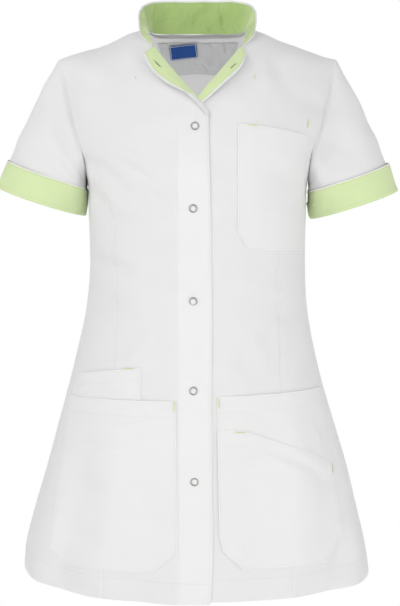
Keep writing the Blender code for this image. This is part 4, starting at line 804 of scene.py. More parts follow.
def front_panel(side):
    last = ROWS + CAP

    def inner_at(i):
        a, d = front_inner(side, i)
        return body(-1, a, d)
    i = row_shares(inner_at, last, 0.0042)
    for must in (ROWS, ROWS + ROLL_ROWS):
        i[np.argmin(np.abs(i - must))] = must
    a0, d0 = front_inner(side, i)
    a1, d1 = front_outer(side, i)
    x0, x1 = body(-1, a0, d0)[:, 0], body(-1, a1, d1)[:, 0]
    f = spaced(0.125, 0.0040)
    d = d0[:, None] + (d1 - d0)[:, None] * f
    x = x0[:, None] + (x1 - x0)[:, None] * f
    a, _ = chart(-1, x, z_of(-1, x, d))
    share = np.clip(1 - i / 6, 0, 1)[:, None] ** 1.5
    d = hem_bend(-1, a, d, share, side)
    d = np.maximum(d, 0)
    P, N = body(-1, a, d), outward(-1, a, d)
    X, Z = P[..., 0], P[..., 2]
    up = folds(-1, X, Z)
    if side < 0:
        up = up + upper_lift(X, Z) + band_lift(X, Z)
    P = P + N * up[..., None]
    inner_sewn = 1 if side < 0 else 1
    sewn = sewn_from(P, (0, 1, 0, 1))
    # the placket edge is stitched up to the break, and the neck seam from the notch on
    u = lengths(P, 1)
    placket = np.where((i <= ROWS - 0.2) | (i > ROWS + ROLL_ROWS), 1, 0)[:, None] * inner_sewn
    sewn = np.where(placket > 0, np.minimum(sewn, u), sewn)
    line_a = (X - BAND_X) if side < 0 else (X + 0.2)
    line_b = lengths(P, 0) - 0.029
    line_b = np.where(line_b > 0.02, 0.05, line_b)
    P = tuck(P, N, (0, 1, 0, 1))
    # the strip along the band's line is painted paler, partly for its layers and partly as painted light
    paler = step(X, BAND_X - 0.0035, BAND_X + 0.0035) * step(-Z, 0.105, 0.190) if side < 0 else 0.0 * X
    first = patch(P, N, THICK, sewn=sewn, lines={"line_a": line_a, "line_b": line_b, "band": paler})
    # the turned-back lapel
    roll_i = np.linspace(ROWS + FIRST[side], ROWS + ROLL_ROWS, 34)
    lap, lap_n = lapel_grid(side, roll_i, 0.0, None)
    lap_sewn = sewn_from(lap, (0, 1, 0, 1))
    second = patch(lap, lap_n, THICK, sewn=lap_sewn)
    return cloth("front_right" if side < 0 else "front_left", [first, second], WHITE,
                 "front_right" if side < 0 else "front_left",
                 flat=None), P, N


def hem_bend(sheet, a, d, share, side=0):
    z = hem_z(sheet, a, side)
    return d + share * (d_of(sheet, across_x(sheet, a, z), z) - d)


def lapel_base(side, i):
    """Roll-line points, the panel's normals there and the direction across."""
    a, d = front_inner(side, i)
    p, n = body(-1, a, d), outward(-1, a, d)
    if side < 0:
        p = p + n * upper_lift(p[:, 0], p[:, 2])[:, None]
    across = np.cross(np.gradient(p, axis=0), n)
    across /= np.linalg.norm(across, axis=1, keepdims=True)
    sign = np.sign(across @ np.array([side * 1.0, 0, -1.0]))
    return p, n, across * sign[:, None]


def over_front(side, r, t, share, up, lip):
    """Points of the turned lapel: rows along the roll, columns share of the way to its free edge."""
    table = LAPEL_R if side < 0 else LAPEL_L
    fx, fz, lift = (curve(t, table[:, 0], table[:, c])[:, None] / 1000 for c in (1, 2, 3))
    rx, rz = r[:, 0:1], r[:, 2:3]
    run = np.maximum(np.hypot(fx - rx, fz - rz), 1e-6)
    k = share[None] * np.maximum(1 - lip / run, 0.04)
    x, z = rx + (fx - rx) * k, rz + (fz - rz) * k
    a, d = chart(-1, x, z)
    p, m = body(-1, a, d), outward(-1, a, d)
    belly = 0.0018 * np.sin(np.pi * np.clip(k, 0, 1)) * np.clip(run / 0.03, 0, 1)
    rise = up + lift * k + belly
    if side < 0:
        rise = rise + upper_lift(x, z)
    # little unevenness of its own
    rise = rise + 0.00035 * np.sin(190 * x + 160 * z + 2.0 * side) * k
    return p + m * rise[..., None], m


def lapel_grid(side, i, up, lip):
    """The sheet from the roll line round the fold and out over the front; lip None: the white under sheet, whose edge turns up."""
    t = (ROWS + ROLL_ROWS - i) / ROLL_ROWS
    r, n, c = lapel_base(side, i)
    white = lip is None
    press = (1 - 0.62 * step(t, 0.50, 0.70))[:, None] if side > 0 else np.ones((len(t), 1))
    high = 0.0011 * press
    up = up * (0.75 + 0.25 * press)
    rad = high + up
    cols, norms = [], []
    for turn in ((0, 30, 60, 90, 120, 150, 180) if white else (40, 65, 90, 115, 140, 160, 180)):
        th = math.radians(turn)
        cols.append(r + n * high - c * rad * math.sin(th) - n * rad * math.cos(th))
        norms.append(-n * math.cos(th) - c * math.sin(th))
    share = np.concatenate([np.linspace(0, 1, 13)[1:-1], [0.955, 0.985, 1.0]])
    base = 2 * high + up
    narrow = np.full(t.shape, 0.0 if white else lip)
    if side < 0 and not white:
        narrow = narrow + 0.009 * step(t, 0.66, 0.80)
    P, M = over_front(side, r, t, share, base, narrow[:, None])
    for k in range(len(share)):
        cols.append(P[:, k]); norms.append(M[:, k])
    if white:
        # the free edge: round a small bead and back on top of the facing's edge
        edge, m = P[:, -1], M[:, -1]
        back_dir = P[:, -1] - P[:, -4]
        back_dir = back_dir / np.maximum(np.linalg.norm(back_dir, axis=1, keepdims=True), 1e-9)
        h = 0.00062
        for turn in (45, 90, 135, 180):
            th = math.radians(turn)
            cols.append(edge + back_dir * h * math.sin(th) + m * h * (1 - math.cos(th)))
            norms.append(m * math.cos(th) * 0 + m)
        for inward in (0.0006, 0.0011, 0.0017, 0.0022):
            cols.append(edge - back_dir * inward + m * (2 * h - 0.00025 * (inward / 0.0022) ** 2))
            norms.append(m)
    G = np.stack(cols, 1)
    return G, np.stack(norms, 1)


def lapel_facing(side):
    i = np.linspace(ROWS + (0.85 if side < 0 else FIRST[side]), ROWS + ROLL_ROWS, 40)
    G, N = lapel_grid(side, i, 0.00085, 0.0017)
    name = "lapel_facing_right" if side < 0 else "lapel_facing_left"
    sewn = sewn_from(G, (0, 1, 0, 1))
    return cloth(name, [patch(G, N, THICK, sewn=sewn)], LIME, name)


def side_panel(side):
    def inner_at(i):
        a, d = front_outer(side, i)
        return body(-1, a, d)
    i = row_shares(inner_at, ROWS, 0.0042)
    a0, d0 = front_outer(side, i)
    z_hem = float(hem_z(-1, np.array([side * 1.0]))[0])
    z = z_hem + (ARMPIT_Z - z_hem) * i / ROWS
    a1, d1 = np.full(z.shape, side * 1.0), side_d(-1, side, z)
    f = spaced(0.090, 0.0036)
    a = a0[:, None] + (a1 - a0)[:, None] * f
    d = d0[:, None] + (d1 - d0)[:, None] * f
    d = hem_bend(-1, a, d, np.clip(1 - i / 6, 0, 1)[:, None] ** 1.5, side)
    w = (np.clip((i - (ROWS - 5)) / 5, 0, 1) ** 1.5)[:, None]
    ta, td = hole_at(side, 1, f)
    ta[0], td[0] = hole_at(side, 0, 1.0)
    a = a + w * (ta - (ta[0] + (ta[-1] - ta[0]) * f))
    d = d + w * (td - (td[0] + (td[-1] - td[0]) * f))
    P, N = body(-1, a, d), outward(-1, a, d)
    P = P + N * folds(-1, P[..., 0], P[..., 2])[..., None]
    sewn = sewn_from(P, (0, 1, 1, 1))
    line_b = lengths(P, 0) - 0.029
    line_b = np.where(line_b > 0.02, 0.05, line_b)
    P = tuck(P, N, (0, 1, 1, 1))
    name = "side_front_right" if side < 0 else "side_front_left"
    return cloth(name, [patch(P, N, THICK, sewn=sewn, lines={"line_b": line_b})], WHITE, name), P, N


def back_panel():
    last = ROWS + CAP_BACK
    cols = []
    for side in (-1, 1):
        def at(i, side=side):
            z_hem = float(hem_z(-1, np.array([side * 1.0]))[0])
            z = z_hem + (ARMPIT_Z - z_hem) * np.clip(i / ROWS, 0, 1)
            a, d = np.full(z.shape, side * 1.0), side_d(1, side, z)
            ha, hd = hole_at(side, 2, np.clip((i - ROWS) / CAP_BACK, 0, 1))
            up = i >= ROWS
            return np.where(up, ha, a), np.where(up, hd, d)
        cols.append(at)
    i = row_shares(lambda k: body(1, *cols[0](k)), last, 0.0046)
    i[np.argmin(np.abs(i - ROWS))] = ROWS
    (la, ld), (ra, rd) = cols[0](i), cols[1](i)
    # along the top: shoulder, neck, shoulder
    top_run = spaced(0.420, 0.0040) * 26
    def top_at(u):
        x = np.where(u < 6, -TIP_X + (TIP_X - NECK_X) * u / 6, NECK_X + (TIP_X - NECK_X) * (u - 20) / 6)
        a_s = chart(1, x, shoulder_z(x))[0]
        t = np.where(u < 13, np.interp(u, np.arange(6, 14), NECK_T[7::-1]), np.interp(u, np.arange(13, 21), NECK_T[:8]))
        side = np.where(u < 13, -1, 1)
        _, na1, nd1, _, _ = neck_points(-1, t)
        _, na2, nd2, _, _ = neck_points(1, t)
        na, nd = np.where(side < 0, na1, na2), np.where(side < 0, nd1, nd2)
        on_neck = (u > 6) & (u < 20)
        return np.where(on_neck, na, a_s), np.where(on_neck, np.maximum(nd, 0.00015), 0.00015)
    top_a, top_d = top_at(top_run)
    share_top = (top_a - top_a[0]) / (top_a[-1] - top_a[0])
    share_low = top_run / 26
    w = step(i, ROWS - 8, last)[:, None]
    share = share_low[None] * (1 - w) + share_top[None] * w
    a = la[:, None] + (ra - la)[:, None] * share
    d = ld[:, None] + (rd - ld)[:, None] * share
    reach = float(cols[0](np.array([float(ROWS)]))[1][0])
    up = np.clip((d - 0.00015) / (reach - 0.00015), 0, 1)
    bent = top_d[None] + (reach - top_d[None]) * up ** (1 + 0.55 * top_d[None] / top_d.max())
    d = np.where(i[:, None] > ROWS, bent, d)
    d = hem_bend(1, a, d, np.clip(1 - i / 6, 0, 1)[:, None] ** 1.5)
    d = np.maximum(d, 0.00015)
    P, N = body(1, a, d), outward(1, a, d)
    P = P + N * folds(1, P[..., 0], P[..., 2])[..., None]
    sewn = sewn_from(P, (0, 1, 1, 1))
    line_b = lengths(P, 0) - 0.029
    line_b = np.where(line_b > 0.02, 0.05, line_b)
    P = tuck(P, N, (0, 1, 1, 1))
    return cloth("back", [patch(P, N, THICK, sewn=sewn, lines={"line_b": line_b})], WHITE, "back"), P, N


# ------------------------------------------------------------------ sleeves and cuffs
# (angle round the sleeve 0..360 with 0 at the top and 90 in front, share down, angle, share, width, height in mm)
SLEEVE_FOLDS = [
    (100, 0.00, 62, 0.62, 9.0, -1.6), (122, 0.02, 96, 0.75, 10.0, 1.5), (78, 0.02, 40, 0.50, 9.0, 1.1),
    (140, 0.05, 128, 0.85, 9.0, -1.4), (30, 0.00, 20, 0.55, 11.0, -0.8), (158, 0.00, 160, 0.70, 8.0, 1.3),
    (258, 0.00, 300, 0.62, 9.0, -1.6), (236, 0.02, 262, 0.75, 10.0, 1.5), (284, 0.02, 322, 0.50, 9.0, 1.1),
    (222, 0.05, 232, 0.85, 9.0, -1.4), (330, 0.00, 342, 0.55, 11.0, -0.8), (204, 0.00, 202, 0.70, 8.0, 1.2),
]


def sleeve_net(side, shares_of=None, loop_pitch=0.0042):
    """Points and normals of the sleeve at fine steps: rows x loop; also the angle and the share under the cuff."""
    mirror = np.array([side, 1, 1])
    start, start_n, run_all = [], [], []
    total = 0.0
    ahead = HOLES[side][0][4] + HOLES[side][1][4]
    for k, (sheet, r, a, d, run) in enumerate(HOLES[side]):
        n = max(8, int(round(run / loop_pitch)))
        s = np.arange(n) / n
        aa, dd = np.interp(s, r, a), np.interp(s, r, d)
        start.append(body(sheet, aa, dd)); start_n.append(outward(sheet, aa, dd))
        run_all.append(total + s * run)
        total += run
    start, start_n, run_all = np.concatenate(start), np.concatenate(start_n), np.concatenate(run_all)
    back = total - ahead
    ang = np.where(run_all <= ahead, run_all / ahead * np.pi, np.pi + (run_all - ahead) / back * np.pi)
    # the seam's normals are smoothed, because the two panels meet at an angle there
    for _ in range(6):
        start_n = (start_n + 0.5 * np.roll(start_n, 1, 0) + 0.5 * np.roll(start_n, -1, 0)) / 2
    start_n /= np.linalg.norm(start_n, axis=1, keepdims=True)
    end = (CUFF_CENTRE[side] + np.cos(ang)[:, None] * CUFF_WIDE + np.sin(ang)[:, None] * CUFF_DEEP) * mirror
    axis = np.cross(CUFF_DEEP, CUFF_WIDE)
    axis = axis / np.linalg.norm(axis)
    axis = axis * (-1 if axis[2] > 0 else 1)
    top, under = np.array([0.545, 0.0, -0.838]) * mirror, np.array([0.10, 0.0, -1.0]) * mirror
    w = ((1 + np.cos(ang)) / 2)[:, None]
    leave = top * w + under * (1 - w)
    axis = (np.array([0.40, 0.0, -0.916]) * w + axis * (1 - w)) * mirror
    axis /= np.linalg.norm(axis, axis=1, keepdims=True)
    leave = leave + start_n * np.array([0.15, 0.55, 0.0]) * np.sin(ang)[:, None] ** 2
    leave /= np.linalg.norm(leave, axis=1, keepdims=True)
    out_w = step(np.abs(ang - np.pi), 1.5, 0.5)[:, None]
    start = start + leave * SEAM * 1.2 + start_n * (0.0009) * out_w
    length = np.linalg.norm(end - start, axis=1, keepdims=True)
    cover = np.minimum(CUFF_HIGH / length[:, 0], 0.62)
    t = shares_of
    net = np.zeros((len(t), len(ang), 3))
    b1, b2 = start + leave * length * 0.36, end - axis * length * 0.34
    ks = np.zeros((len(t), len(ang)))
    for i, s in enumerate(t):
        k = np.where(s <= 0.7, s / 0.7 * (1 - cover), 1 - cover + (s - 0.7) / 0.3 * cover)
        ks[i] = k
        k = k[:, None]
        net[i] = (1 - k)**3 * start + 3 * k * (1 - k)**2 * b1 + 3 * k * k * (1 - k) * b2 + k**3 * end
    around = np.roll(net, -1, axis=1) - np.roll(net, 1, axis=1)
    nrm = np.cross(around, np.gradient(net, axis=0))
    nrm /= np.linalg.norm(nrm, axis=-1, keepdims=True)
    centre = net.mean(axis=1, keepdims=True)
    nrm *= np.sign(np.sum(nrm * (net - centre), axis=-1, keepdims=True).mean())
    ringed = np.cross(around, np.broadcast_to(axis, around.shape))
    ringed /= np.linalg.norm(ringed, axis=-1, keepdims=True)
    ringed *= np.sign(np.sum(ringed * (net - centre), axis=-1, keepdims=True).mean())
    w_end = step(t, 0.45, 0.68)[:, None, None]
    nrm = nrm * (1 - w_end) + ringed * w_end
    nrm /= np.linalg.norm(nrm, axis=-1, keepdims=True)
    return net, nrm, ang, ks, length[:, 0]


def sleeve_folds(side, ang, ks):
    """Soft folds from the armpit and the sleeve head, metres."""
    deg = np.degrees(ang)[None]
    out = np.zeros(ks.shape)
    for a0, s0, a1, s1, w, h in SLEEVE_FOLDS:
        a0, a1 = a0 + 4 * side, a1 - 3 * side
        t = (ks - s0) / (s1 - s0)
        mid = a0 + (a1 - a0) * np.clip(t, 0, 1) ** 0.8
        c = (deg - mid) * 0.95
        out = out + h / 1000 * step(t, -0.02, 0.25) * (1 - step(t, 0.55, 1.15)) * np.exp(-(c / w) ** 2)
    x = np.sin(ang)[None] * 0.055
    z = ks * 0.16
    return out + ripple(x, z + 0 * x, 5.0 + side)


def sleeve(side):
    t = np.concatenate([spaced(0.120, 0.0042, (1, 0)) * 0.70, 0.70 + 0.30 * spaced(0.038, 0.0042, (0, 1))[1:]])
    net, nrm, ang, ks, length = sleeve_net(side, t)
    calm = step(ks, 0.0, 0.06) * (1 - 0.92 * step(t, 0.56, 0.70)[:, None])
    # the sleeve head rolls a little over its seam
    head = 0.0008 * np.exp(-((ks * length[None] - 0.007) / 0.006) ** 2) * step(np.abs(ang - np.pi), 0.9, 1.8)[None]
    P = net + nrm * (sleeve_folds(side, ang, ks) * calm + head)[..., None]
    # the seam allowance runs on under the panels
    run_in = P[1] - P[0]
    run_in /= np.linalg.norm(run_in, axis=1, keepdims=True)
    P = np.concatenate([(P[0] - run_in * 0.0022 - nrm[0] * 0.0010)[None], P])
    nrm = np.concatenate([nrm[:1], nrm])
    v = lengths(P, 0) - 0.0022
    name = "sleeve_right" if side < 0 else "sleeve_left"
    sewn = np.clip(v, 0, 0.05)
    return cloth(name, [patch(P, nrm, THICK, closed=True, sewn=sewn)], WHITE, name), P, nrm, ang


def cuff_grid(side):
    """Outer face from the top edge down, round the lower fold and up inside."""
    share = spaced(CUFF_HIGH, 0.0034, (1, 0))
    t = 0.7 + 0.3 * share
    net, nrm, ang, ks, length = sleeve_net(side, t)
    f = (1 - share)[:, None, None]
    outside = (net[..., :1] * side - CUFF_CENTRE[side][0]) / CUFF_WIDE[0]
    # soft folds that run round the cuff
    deg = np.degrees(ang)[None]
    wave = 0.0009 * np.sin(np.radians(deg) * 3 + 1.2 * side + 3.0 * share[:, None]) * (1 - 0.4 * share[:, None])
    wave = wave + 0.0007 * np.exp(-(((deg - 118) - 26 * share[:, None]) / 9) ** 2) - 0.0008 * np.exp(-(((deg - 96) - 20 * share[:, None]) / 8) ** 2)
    wave = wave + 0.0007 * np.exp(-(((deg - 246) + 26 * share[:, None]) / 9) ** 2) - 0.0008 * np.exp(-(((deg - 268) + 20 * share[:, None]) / 8) ** 2)
    for centre, slant, w, h in ((138, 14, 7, 0.0013), (152, 10, 6, -0.0012), (112, 20, 7, -0.0009), (226, -14, 8, 0.0011), (210, -8, 7, -0.0010)):
        wave = wave + h * np.exp(-(((deg - centre) - slant * share[:, None]) / w) ** 2) * (0.45 + 0.55 * share[:, None])
    P = net + nrm * (0.0016 + 0.0020 * f * step(outside, -1.1, 0.6) + (wave * step(np.sin(np.pi * (0.1 + 0.9 * share)), 0, 0.5)[:, None])[..., None])
    down = P[-1] - P[-2]
    down = down / np.linalg.norm(down, axis=-1, keepdims=True)
    # round the fold
    extra, extra_n = [], []
    rad = 0.0012
    base, n = P[-1], nrm[-1]
    for turn in (30, 60, 90, 120, 150, 180):
        th = math.radians(turn)
        extra.append(base - n * rad * (1 - math.cos(th)) + down * rad * math.sin(th))
        extra_n.append(n * math.cos(th) + down * math.sin(th))
    for up in (0.004, 0.008, 0.012, 0.016, 0.020):
        extra.append(base - n * (2 * rad + 0.0001) - down * up)
        extra_n.append(-n)
    return np.concatenate([P, np.stack(extra)]), np.concatenate([nrm, np.stack(extra_n)]), ang, len(share)


def cuff(side):
    P, N, ang, k = cuff_grid(side)
    name = "cuff_right" if side < 0 else "cuff_left"
    v = lengths(P, 0)
    sewn = np.minimum(np.minimum(v, np.abs(v - v[k - 1:k])), 0.05)
    return cloth(name, [patch(P, N, THICK, closed=True, sewn=v + 0.0, sides=(1, 1, 0, 0))], LIME, name), P, N, k


# ------------------------------------------------------------------ collar
def collar_stations(t_side):
    """Foot and edge points from the right notch round to the left one; t_side runs 1 .. 0 .. 1."""
    foot, edge = [], []
    for side, t in ((-1, t_side[::-1]), (1, t_side[1:])):
        _, _, _, seam, n = neck_points(side, t)
        e = np.stack([side * curve(t, COLLAR_EDGE[:, 0], COLLAR_EDGE[:, 1]), curve(t, COLLAR_EDGE[:, 0], COLLAR_EDGE[:, 2]),
                      curve(t, COLLAR_EDGE[:, 0], COLLAR_EDGE[:, 3])], -1) / 1000
        up = (e - seam) / np.linalg.norm(e - seam, axis=1, keepdims=True)
        above = WALL / 2 + SEAM * 2 + step(t, 0.55, 0.75) * (WALL + SEAM * 3)
        foot.append(seam + n * above[:, None] + up * 0.0006)
        edge.append(e)
    return np.concatenate(foot), np.concatenate(edge)


# folds of the standing collar: (share along, share up, share along, share up, width as a share along, height in mm)
COLLAR_FOLDS = [
    (0.40, 0.05, 0.52, 0.95, 0.013, -1.1), (0.45, 0.05, 0.56, 0.90, 0.012, 1.1), (0.52, 0.00, 0.63, 0.95, 0.012, -1.2),
    (0.565, 0.00, 0.66, 0.80, 0.011, 1.1), (0.61, 0.05, 0.68, 0.55, 0.010, -0.9), (0.34, 0.30, 0.44, 0.98, 0.014, 0.8),
    (0.225, 0.05, 0.215, 0.95, 0.009, 1.2), (0.245, 0.05, 0.240, 0.95, 0.009, -1.2), (0.785, 0.05, 0.790, 0.95, 0.009, 1.1),
    (0.765, 0.05, 0.770, 0.95, 0.009, -1.0), (0.28, 0.1, 0.33, 0.9, 0.012, -0.9), (0.715, 0.1, 0.735, 0.9, 0.011, 0.8),
]


def collar_grid():
    t = spaced(0.176, 0.0034, (0, 1))
    foot, edge = collar_stations(t)
    f = spaced(0.045, 0.0030, (0, 1))[:, None, None]
    run = lengths((foot + edge)[None] / 2, 1)[0]
    u = run / run[-1]
    P = foot + (edge - foot) * f
    N = np.cross(np.gradient(P, axis=1), (P[-1] - P[0])[None])
    N /= np.linalg.norm(N, axis=-1, keepdims=True)
    N = N * np.sign(N[0, N.shape[1] // 2, 1])
    # evened along the collar
    for _ in range(8):
        N[:, 1:-1] = (N[:, 1:-1] * 2 + N[:, :-2] + N[:, 2:]) / 4
    N /= np.linalg.norm(N, axis=-1, keepdims=True)
    ff = f[..., 0]
    lift = 0.0011 * np.sin(np.pi * ff) + 0 * u[None]
    for a0, f0, a1, f1, w, h in COLLAR_FOLDS:
        s = (ff - f0) / (f1 - f0)
        c = u[None] - (a0 + (a1 - a0) * np.clip(s, 0, 1))
        lift = lift + 2.8 * h / 1000 * np.exp(-(c / w) ** 2) * step(s, -0.15, 0.2) * (1 - step(s, 0.8, 1.2)) * step(ff, 0, 0.12)
    lift = lift + 0.0004 * np.sin(u[None] * 60 + ff * 5) * ff
    return P + N * lift[..., None], N, u, f[:, 0, 0]


def collar_outer():
    P, N, u, f = collar_grid()
    h = 0.00055
    out = P + N * h
    up = P[-1] - P[-3]
    up /= np.linalg.norm(up, axis=1, keepdims=True)
    n = N[-1]
    extra, extra_n = [], []
    for turn in (36, 72, 108, 144, 180):
        th = math.radians(turn)
        extra.append(P[-1] + n * h * math.cos(th) + up * h * math.sin(th))
        extra_n.append(n * math.cos(th) + up * math.sin(th))
    for down in (0.0006, 0.0012, 0.0019):
        extra.append(P[-1] - n * (h + 0.00035) - up * down)
        extra_n.append(-n)
    G, M = np.concatenate([out, np.stack(extra)]), np.concatenate([N, np.stack(extra_n)])
    # front ends: fold the white round to the inner face as well
    sewn = np.minimum(lengths(out, 0)[-1:] - lengths(out, 0), 0.05)
    sewn = np.concatenate([sewn, np.full((len(extra), G.shape[1]), 0.02)])
    return cloth("collar_outer", [patch(G, M, THICK, sewn=sewn), *collar_ends(P, N, h)], WHITE, "collar_outer"), P, N, u, f


def collar_ends(P, N, h):
    """White strips that turn round the two slanted front ends."""
    out = []
    for j, k in ((0, 3), (-1, -4)):
        e, n = P[:, j], N[:, j]
        away = P[:, j] - P[:, k]
        away /= np.linalg.norm(away, axis=1, keepdims=True)
        cols, norms = [], []
        for turn in (0, 45, 90, 135, 180):
            th = math.radians(turn)
            cols.append(e + n * h * math.cos(th) + away * h * math.sin(th))
            norms.append(n * math.cos(th) + away * math.sin(th))
        for back in (0.0007, 0.0014, 0.0021):
            cols.append(e - n * (h + 0.00035) - away * back)
            norms.append(-n)
        out.append(patch(np.stack(cols, 1), np.stack(norms, 1), THICK))
    return out


def collar_inner():
    P, N, u, f = collar_grid()
    h = 0.00055
    # stop short of the upper edge and of the front ends
    reach = np.linalg.norm(P[-1] - P[0], axis=1)
    rows = spaced(0.045, 0.0028, (0, 1))
    run = lengths(P, 1)[0]
    cut = 0.0012
    cols = np.linspace(cut, run[-1] - cut, P.shape[1])
    def resample(A):
        B = np.stack([[np.interp(cols, run, A[i, :, c]) for c in range(3)] for i in range(A.shape[0])]).transpose(0, 2, 1)
        out = np.zeros((len(rows), B.shape[1], 3))
        for j in range(B.shape[1]):
            top = 1 - cut / np.interp(cols[j], run, reach)
            for c in range(3):
                out[:, j, c] = np.interp(rows * top, f, B[:, j, c])
        return out
    Q, M = resample(P), resample(N)
    M /= np.linalg.norm(M, axis=-1, keepdims=True)
    G = Q - M * h
    down = G[0] - G[1]
    down /= np.linalg.norm(down, axis=1, keepdims=True)
    G = np.concatenate([(G[0] + down * 0.0009 + M[0] * 0.0017)[None], (G[0] + down * 0.0009 + M[0] * 0.0008)[None], (G[0] + down * 0.0007)[None], G])
    M = np.concatenate([M[:1] * 0.2 - down[None], M[:1] * 0.2 - down[None], M[:1], M])
    sewn = sewn_from(G, (0, 1, 1, 1))
    return cloth("collar_inner", [patch(G, -M, THICK, sewn=sewn)], LIME_PAINTED_SHADE, "collar_inner")


# ------------------------------------------------------------------ what lies on the panels
POCKETS = {
    "chest_pocket": (+1, [(0, 52.2, -122.0), (.86, 52.1, -264.8), (1, 66.0, -286.4)],
                     [(0, 147.0, -138.5), (.35, 139.5, -190.0), (1, 143.2, -289.0)]),
    "lower_pocket_right": (-1, [(0, -28.0, -484.5), (.86, -26.1, -684.0), (1, -58.3, -711.5)],
                           [(0, -170.5, -484.0), (.70, -189.0, -638.0), (.88, -196.0, -687.0), (1, -176.0, -706.5)]),
    "phone_pocket_right": (-1, [(0, -74.0, -442.0), (1, -74.0, -500.0)], [(0, -161.0, -455.0), (1, -173.0, -508.0)]),
    "lower_pocket_left": (+1, [(0, 25.6, -479.0), (.80, 28.3, -661.0), (.90, 33.5, -683.0), (1, 58.0, -707.0)],
                          [(0, 164.0, -472.5), (.40, 180.0, -567.0), (.80, 193.6, -664.0), (.90, 186.0, -683.0), (1, 172.0, -702.0)]),
    "small_pocket_left": (+1, [(0, 25.9, -525.0), (.74, 28.7, -661.0), (.87, 33.9, -682.6), (1, 58.4, -706.0)],
                          [(0, 180.5, -572.0), (.20, 183.5, -598.0), (.74, 192.8, -664.0), (.87, 185.4, -682.6), (1, 171.4, -701.0)]),
}
TOPS = {"small_pocket_left": [(25.9, -525.0), (47.0, -522.5), (62.0, -523.0), (87.0, -532.5), (117.0, -543.8), (180.5, -572.0)]}
STACK = 0.0011           # one layer of cloth over another


def pocket_lift(name, s, t, x, z):
    side = POCKETS[name][0]
    base = {"chest_pocket": 1.0, "phone_pocket_right": 1.0, "lower_pocket_right": 1.0, "lower_pocket_left": 1.0, "small_pocket_left": 2.05}[name]
    lift = STACK * base + 0 * x
    if side < 0:
        lift = lift + upper_lift(x, z) * 1.0
    if name == "lower_pocket_right":
        lift = lift + STACK * 1.0 * step(-x, 0.060, 0.073) * step(z, -0.545, -0.510)
    if name == "small_pocket_left":
        lift = lift + 0.0009 * np.sin(np.pi * s) ** 2 * np.sin(np.pi * np.clip(0.10 + 0.85 * t, 0, 1)) ** 2
    full = 0.0010 * np.sin(np.pi * s) ** 2 * np.sin(np.pi * np.clip(0.12 + 0.86 * t, 0, 1)) ** 2
    mouth = 0.0013 * np.exp(-t / 0.16) * np.clip(np.sin(np.pi * s), 0, 1) ** 0.7
    return lift + full + mouth


def pocket(name):
    side, inner, outer = POCKETS[name]
    inner, outer = np.array(inner, float), np.array(outer, float)
    tall = abs(inner[-1, 2] - inner[0, 2]) / 1000
    wide = abs(outer[0, 1] - inner[0, 1]) / 1000
    breaks = sorted(set(inner[:, 0]) | set(outer[:, 0]))
    t = spaced(tall, 0.0038)
    t = np.unique(np.round(np.concatenate([t, breaks]), 5))
    t = t[np.concatenate([[True], np.diff(t) > 1e-4])]
    s = spaced(wide, 0.0038)
    pa, pz = [], []
    for k in t:
        x0, z0 = np.interp(k, inner[:, 0], inner[:, 1]) / 1000, np.interp(k, inner[:, 0], inner[:, 2]) / 1000
        x1, z1 = np.interp(k, outer[:, 0], outer[:, 1]) / 1000, np.interp(k, outer[:, 0], outer[:, 2]) / 1000
        a0, a1 = float(chart(-1, x0, z0)[0]), float(chart(-1, x1, z1)[0])
        pa.append(a0 + (a1 - a0) * s)
        pz.append(z0 + (z1 - z0) * s)
    pa, pz = np.array(pa), np.array(pz)
    px = across_x(-1, pa, pz)
    if name in TOPS:
        top = np.array(TOPS[name]) / 1000
        bent = np.interp(px[0], top[:, 0], top[:, 1]) - pz[0]
        pz = pz + bent[None] * (1 - t[:, None])
        px = across_x(-1, pa, pz)
    d = d_of(-1, px, pz)
    P, N = body(-1, pa, d), outward(-1, pa, d)
    lift = pocket_lift(name, s[None], t[:, None], px, pz)
    P = P + N * (folds(-1, P[..., 0], P[..., 2]) + lift)[..., None]
    sides = (1, 1, 1, 1)
    sewn = sewn_from(P, sides)
    return cloth(name, [patch(P, N, THICK, sewn=sewn)], WHITE_POCKET, name), P, N


def z_neck(x):
    t = np.linspace(0, 0.62, 60)
    p = neck_points(1, t)[3]
    return np.interp(np.abs(x), p[:, 0], p[:, 2])


def inside_back(name, node, centre, x_edges, z_top, z_low, arch, drop, material, wave=0.0):
    s = spaced(x_edges[0] * 2, 0.0028) * 2 - 1
    rows = spaced(0.040 if name != "label" else 0.020, 0.0028)
    k = rows[:, None]
    x = centre + s[None] * (x_edges[0] * (1 - k) + x_edges[1] * k)
    top = z_top(x[0])[None]
    z = top + (z_low + arch * (1 - s[None] ** 2) - top) * k
    a, d = chart(1, x + 1e-7, z)
    P, N = body(1, a, d), outward(1, a, d)
    if name == "label":            # it was sewn in a little askew
        tilt = math.radians(7)
        xm, zm = x - centre, z - z.mean()
        x, z = centre + xm * math.cos(tilt) - zm * math.sin(tilt), z.mean() + xm * math.sin(tilt) + zm * math.cos(tilt)
        a, d = chart(1, x + 1e-7, z)
        P, N = body(1, a, d), outward(1, a, d)
    uneven = 0.5 + 0.32 * np.sin(x * 150 + z * 210) + 0.18 * np.sin(x * -230 + z * 120 + 1.0)
    lift = folds(1, P[..., 0], P[..., 2]) - drop - wave * uneven * np.sin(np.pi * k)
    P = P + N * lift[..., None]
    return cloth(name, [patch(P, -N, THICK * 0.9, sewn=sewn_from(P, (1, 1, 1, 1)))], material, node), P, -N


def neck_curve(t_max, n):
    t = np.linspace(0, t_max, n)
    _, a1, d1, _, _ = neck_points(-1, t[::-1])
    _, a2, d2, _, _ = neck_points(1, t[1:])
    return np.concatenate([a1, a2]), np.concatenate([d1, d2])


